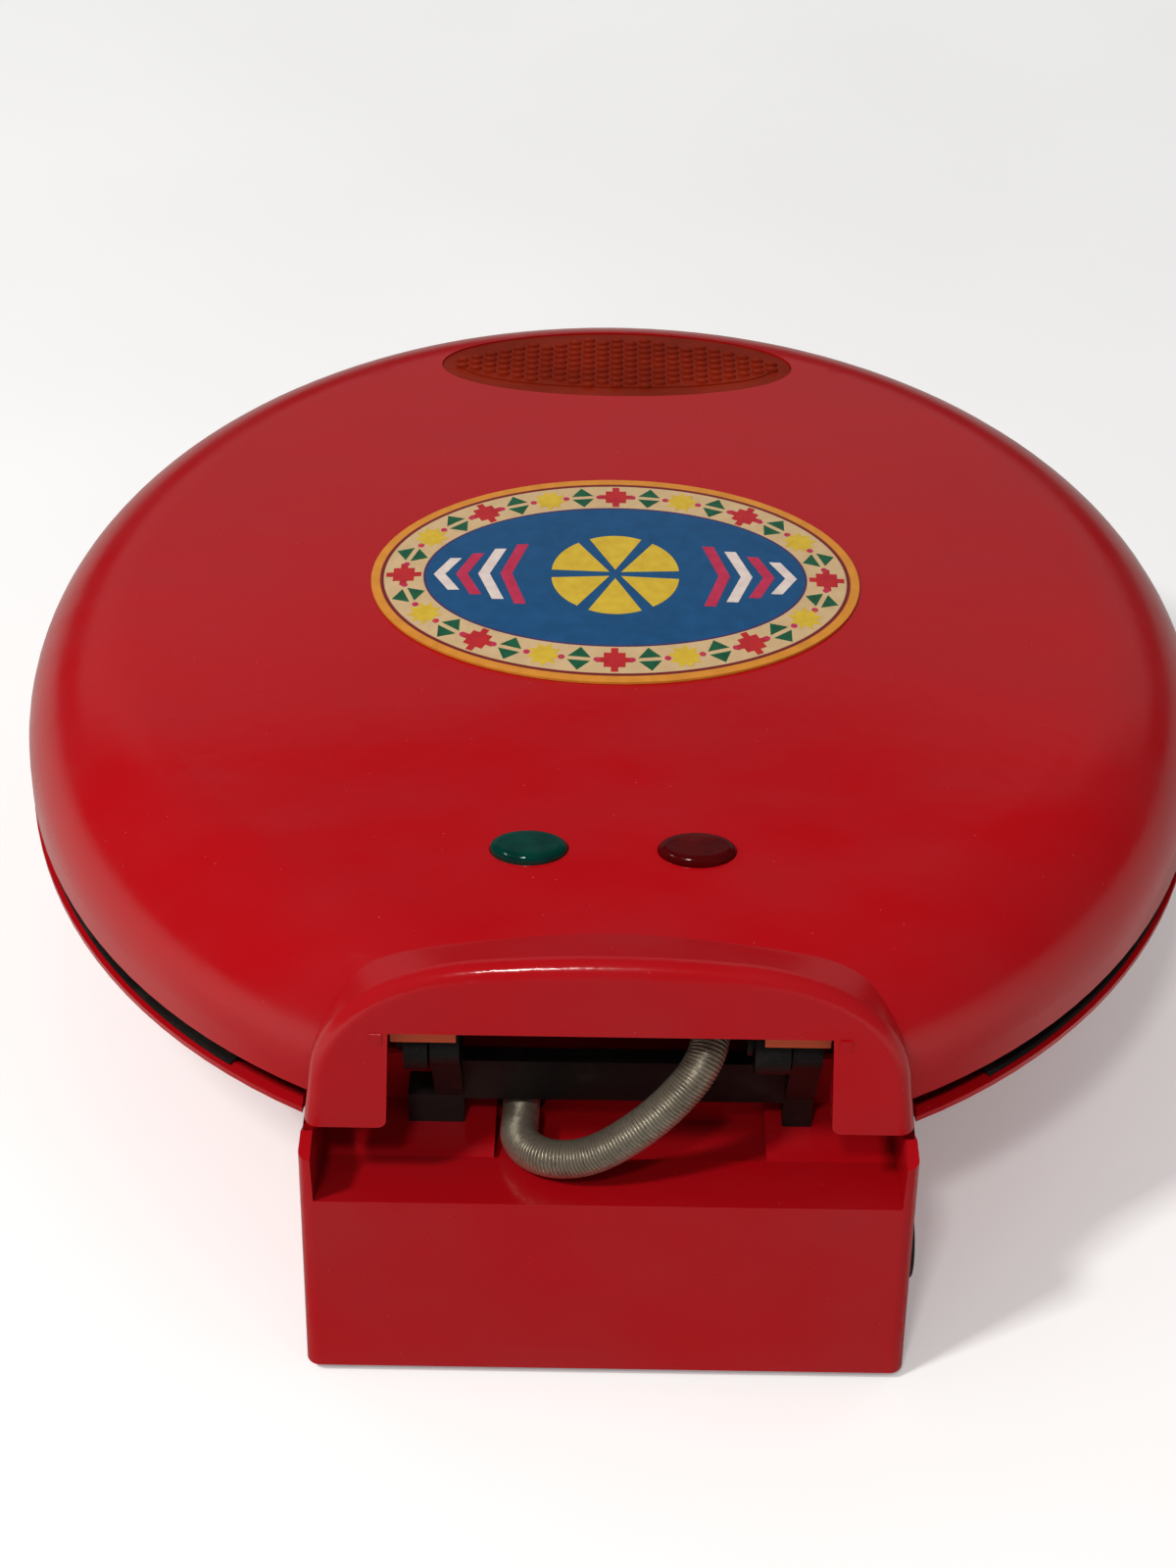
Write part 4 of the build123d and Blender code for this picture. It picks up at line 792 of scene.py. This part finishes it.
guard_route = (
    (0.0190, 0.1038, 0.0534),
    (0.0190, 0.1110, 0.0534),
    (0.0194, 0.1202, 0.0560),
    (0.0135, 0.1280, 0.0594),
    (0.0040, 0.1300, 0.0624),
    (-0.0055, 0.1289, 0.0694),
    (-0.0135, 0.1255, 0.0758),
    (-0.0193, 0.1209, 0.0816),
    (-0.0215, 0.1137, 0.0844),
    (-0.0215, 0.1068, 0.0844),
)
route_curve = bpy.data.curves.new("guard_route", "CURVE")
route_curve.dimensions = "3D"
route_curve.resolution_u = 24
spline = route_curve.splines.new("NURBS")
spline.points.add(len(guard_route) - 1)
for spot, (x, y, z) in zip(spline.points, guard_route):
    spot.co = (x, y, z, 1.0)
spline.order_u = 3
spline.use_endpoint_u = True
route = set_down("guard_route", route_curve)
bpy.context.view_layer.update()
followed = route.evaluated_get(bpy.context.evaluated_depsgraph_get())
line = bpy.data.meshes.new_from_object(followed)
bpy.data.objects.remove(route)

# the wire winds round the route; a plain core closes the view between its turns
tree, given, end = start_tree(
    "close_winding",
    Turns=110,
    Steps=20,
    Coil_Radius=0.0037,
    Wire_Radius=0.00041,
    Wire_Sides=7,
    Core_Sides=20,
)
count = worked_out(tree, given["Turns"], "MULTIPLY", given["Steps"])
fine = join_node(tree, "GeometryNodeResampleCurve", Curve=given["Geometry"], Count=count)
number = join_node(tree, "GeometryNodeInputIndex").outputs[0]
turn = worked_out(tree, number, "DIVIDE", given["Steps"])
turned = join_node(
    tree,
    "ShaderNodeVectorRotate",
    {"rotation_type": "AXIS_ANGLE"},
    Vector=join_node(tree, "GeometryNodeInputNormal").outputs[0],
    Axis=join_node(tree, "GeometryNodeInputTangent").outputs[0],
    Angle=worked_out(tree, turn, "MULTIPLY", 2 * math.pi),
)
outward = join_node(
    tree,
    "ShaderNodeVectorMath",
    {"operation": "SCALE"},
    i0=turned.outputs[0],
    Scale=given["Coil_Radius"],
)
coil = shifted(tree, fine.outputs[0], outward.outputs[0])
both = join_node(tree, "GeometryNodeJoinGeometry")
for path, radius, round_sides in (
    (coil, given["Wire_Radius"], given["Wire_Sides"]),
    (given["Geometry"], given["Coil_Radius"], given["Core_Sides"]),
):
    profile = join_node(
        tree, "GeometryNodeCurvePrimitiveCircle", Resolution=round_sides, Radius=radius
    )
    tube = join_node(
        tree,
        "GeometryNodeCurveToMesh",
        Curve=path,
        Profile_Curve=profile.outputs[0],
        Fill_Caps=True,
    )
    tree.links.new(tube.outputs[0], both.inputs[0])
end_tree(tree, given, end, both.outputs[0])

guard = grow("wound_wire_guard", route_curve, tree, steel_wire)
smooth_sides(guard)
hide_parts("wire_guard")
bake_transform(guard)

# ---------------------------------------------------------------------------
# Floor, light and camera. A plain pale floor, soft panels of light, and the
# camera behind and above the cooker, as the photograph was taken.
# ---------------------------------------------------------------------------

bpy.context.scene.view_settings.view_transform = "Standard"
floor_half = 5
floor_corners = [
    (-floor_half, -floor_half, 0),
    (floor_half, -floor_half, 0),
    (floor_half, floor_half, 0),
    (-floor_half, floor_half, 0),
]
floor_mesh = bpy.data.meshes.new("floor")
floor_mesh.from_pydata(floor_corners, [], [(0, 1, 2, 3)])
floor = set_down("floor", floor_mesh)
pale, shader, place = start_finish("pale_floor")
# in reflections the floor is painted duller than it looks, with painted shade close behind the
# hinge box
in_gloss = put(pale, "ShaderNodeLightPath").outputs["Is Glossy Ray"]
tone = mixed(pale, cloud(pale, place, scale=6.0), srgb(243, 243, 242), srgb(246, 246, 246))
x, y, _ = put(pale, "ShaderNodeSeparateXYZ", Vector=place).outputs
off_middle = put(pale, "ShaderNodeMath", {"operation": "ABSOLUTE"}, i0=x).outputs[0]
back = ramp(pale, y, low=0.10, high=0.15)
painted_shade_behind = times(pale, back, ramp(pale, off_middle, low=0.28, high=0.14))
mirrored_with_painted_shade = mixed(pale, painted_shade_behind, srgb(196, 190, 186), srgb(96, 94, 92))
lead(pale, shader, Base_Color=mixed(pale, in_gloss, tone, mirrored_with_painted_shade))
# for the camera alone it brightens with distance, until it meets the pale room
straight = put(pale, "ShaderNodeLightPath").outputs["Is Camera Ray"]
away = put(pale, "ShaderNodeVectorMath", {"operation": "LENGTH"}, i0=place).outputs["Value"]
glow = ramp(pale, away, low=0.4, high=2.4, to_low=0.16, to_high=0.72)
lead(pale, shader, Emission_Strength=times(pale, straight, glow))
shader.inputs["Emission Color"].default_value = (1.0, 1.0, 1.0, 1.0)
shader.inputs["Roughness"].default_value = 0.9
shader.inputs["Specular IOR Level"].default_value = 0.1
floor_mesh.materials.append(pale)

# the room is evenly pale; in reflections only a broad pale strip of the wall
# opposite the camera is light, and the rest of the room is dim
room_light = 0.4
room_seen = 0.95
world = bpy.data.worlds.new("studio")
bpy.context.scene.world = world
world.use_nodes = True
sky = world.node_tree.nodes["Background"]
way = put(world, "ShaderNodeTexCoord").outputs["Generated"]
_, y, z = put(world, "ShaderNodeSeparateXYZ", Vector=way).outputs
below = ramp(world, z, low=0.71, high=0.655)
clear = ramp(world, z, low=0.2, high=0.31)
opposite = times(world, ramp(world, y, low=-0.46, high=-0.6), clear)
strip = times(world, below, opposite)
wall_light = ramp(world, strip, low=0.0, high=1.0, to_low=0.045, to_high=0.3)
in_gloss = put(world, "ShaderNodeLightPath").outputs["Is Glossy Ray"]
strength = put(world, "ShaderNodeMix", i0=in_gloss, i2=room_light, i3=wall_light).outputs[0]
straight = put(world, "ShaderNodeLightPath").outputs["Is Camera Ray"]
strength = put(world, "ShaderNodeMix", i0=straight, i2=strength, i3=room_seen).outputs[0]
world.node_tree.links.new(strength, sky.inputs["Strength"])
sky.inputs["Color"].default_value = (1.0, 1.0, 1.0, 1.0)


def softbox(name, place, aim, side, watts, colour, shows_in_gloss):
    """A square panel of light at a place, turned to an aim."""
    panel = bpy.data.lights.new(name, "AREA")
    panel.shape = "RECTANGLE"
    panel.size = panel.size_y = side
    panel.energy = watts
    panel.color = colour
    box = set_down(name, panel)
    turn = (Vector(aim) - Vector(place)).to_track_quat("-Z", "Y").to_matrix().to_4x4()
    box.matrix_world = Matrix.Translation(place) @ turn
    box.visible_glossy = shows_in_gloss


softbox(
    "key",
    place=(0.68, 0.50, 1.20),
    aim=(0, 0.03, 0.1),
    side=0.14,
    watts=10.0,
    colour=(1.0, 0.985, 0.96),
    shows_in_gloss=False,
)
softbox(
    "glint",
    place=(0.20, 0.84, 1.30),
    aim=(0, 0.12, 0.1),
    side=0.12,
    watts=4.6,
    colour=(1.0, 0.99, 0.97),
    shows_in_gloss=True,
)

camera_data = bpy.data.cameras.new("photo_camera")
camera_data.sensor_width = 36.0
camera_data.lens = 58.5
camera_data.clip_start = 0.02
camera = set_down("photo_camera", camera_data)
camera_place = (0.0031, 0.4768, 0.4759)
yaw, fall, roll = math.radians(-0.33), math.radians(41.65), math.radians(0.61)
ahead = Vector(
    (-math.sin(yaw) * math.cos(fall), -math.cos(yaw) * math.cos(fall), -math.sin(fall))
)
sideways = Vector((-math.cos(yaw), math.sin(yaw), 0.0))
above = sideways.cross(ahead)
right = sideways * math.cos(roll) + above * math.sin(roll)
above = right.cross(ahead)
facing = Matrix((right, above, -ahead)).transposed().to_4x4()
camera.matrix_world = Matrix.Translation(camera_place) @ facing
bpy.context.scene.camera = camera
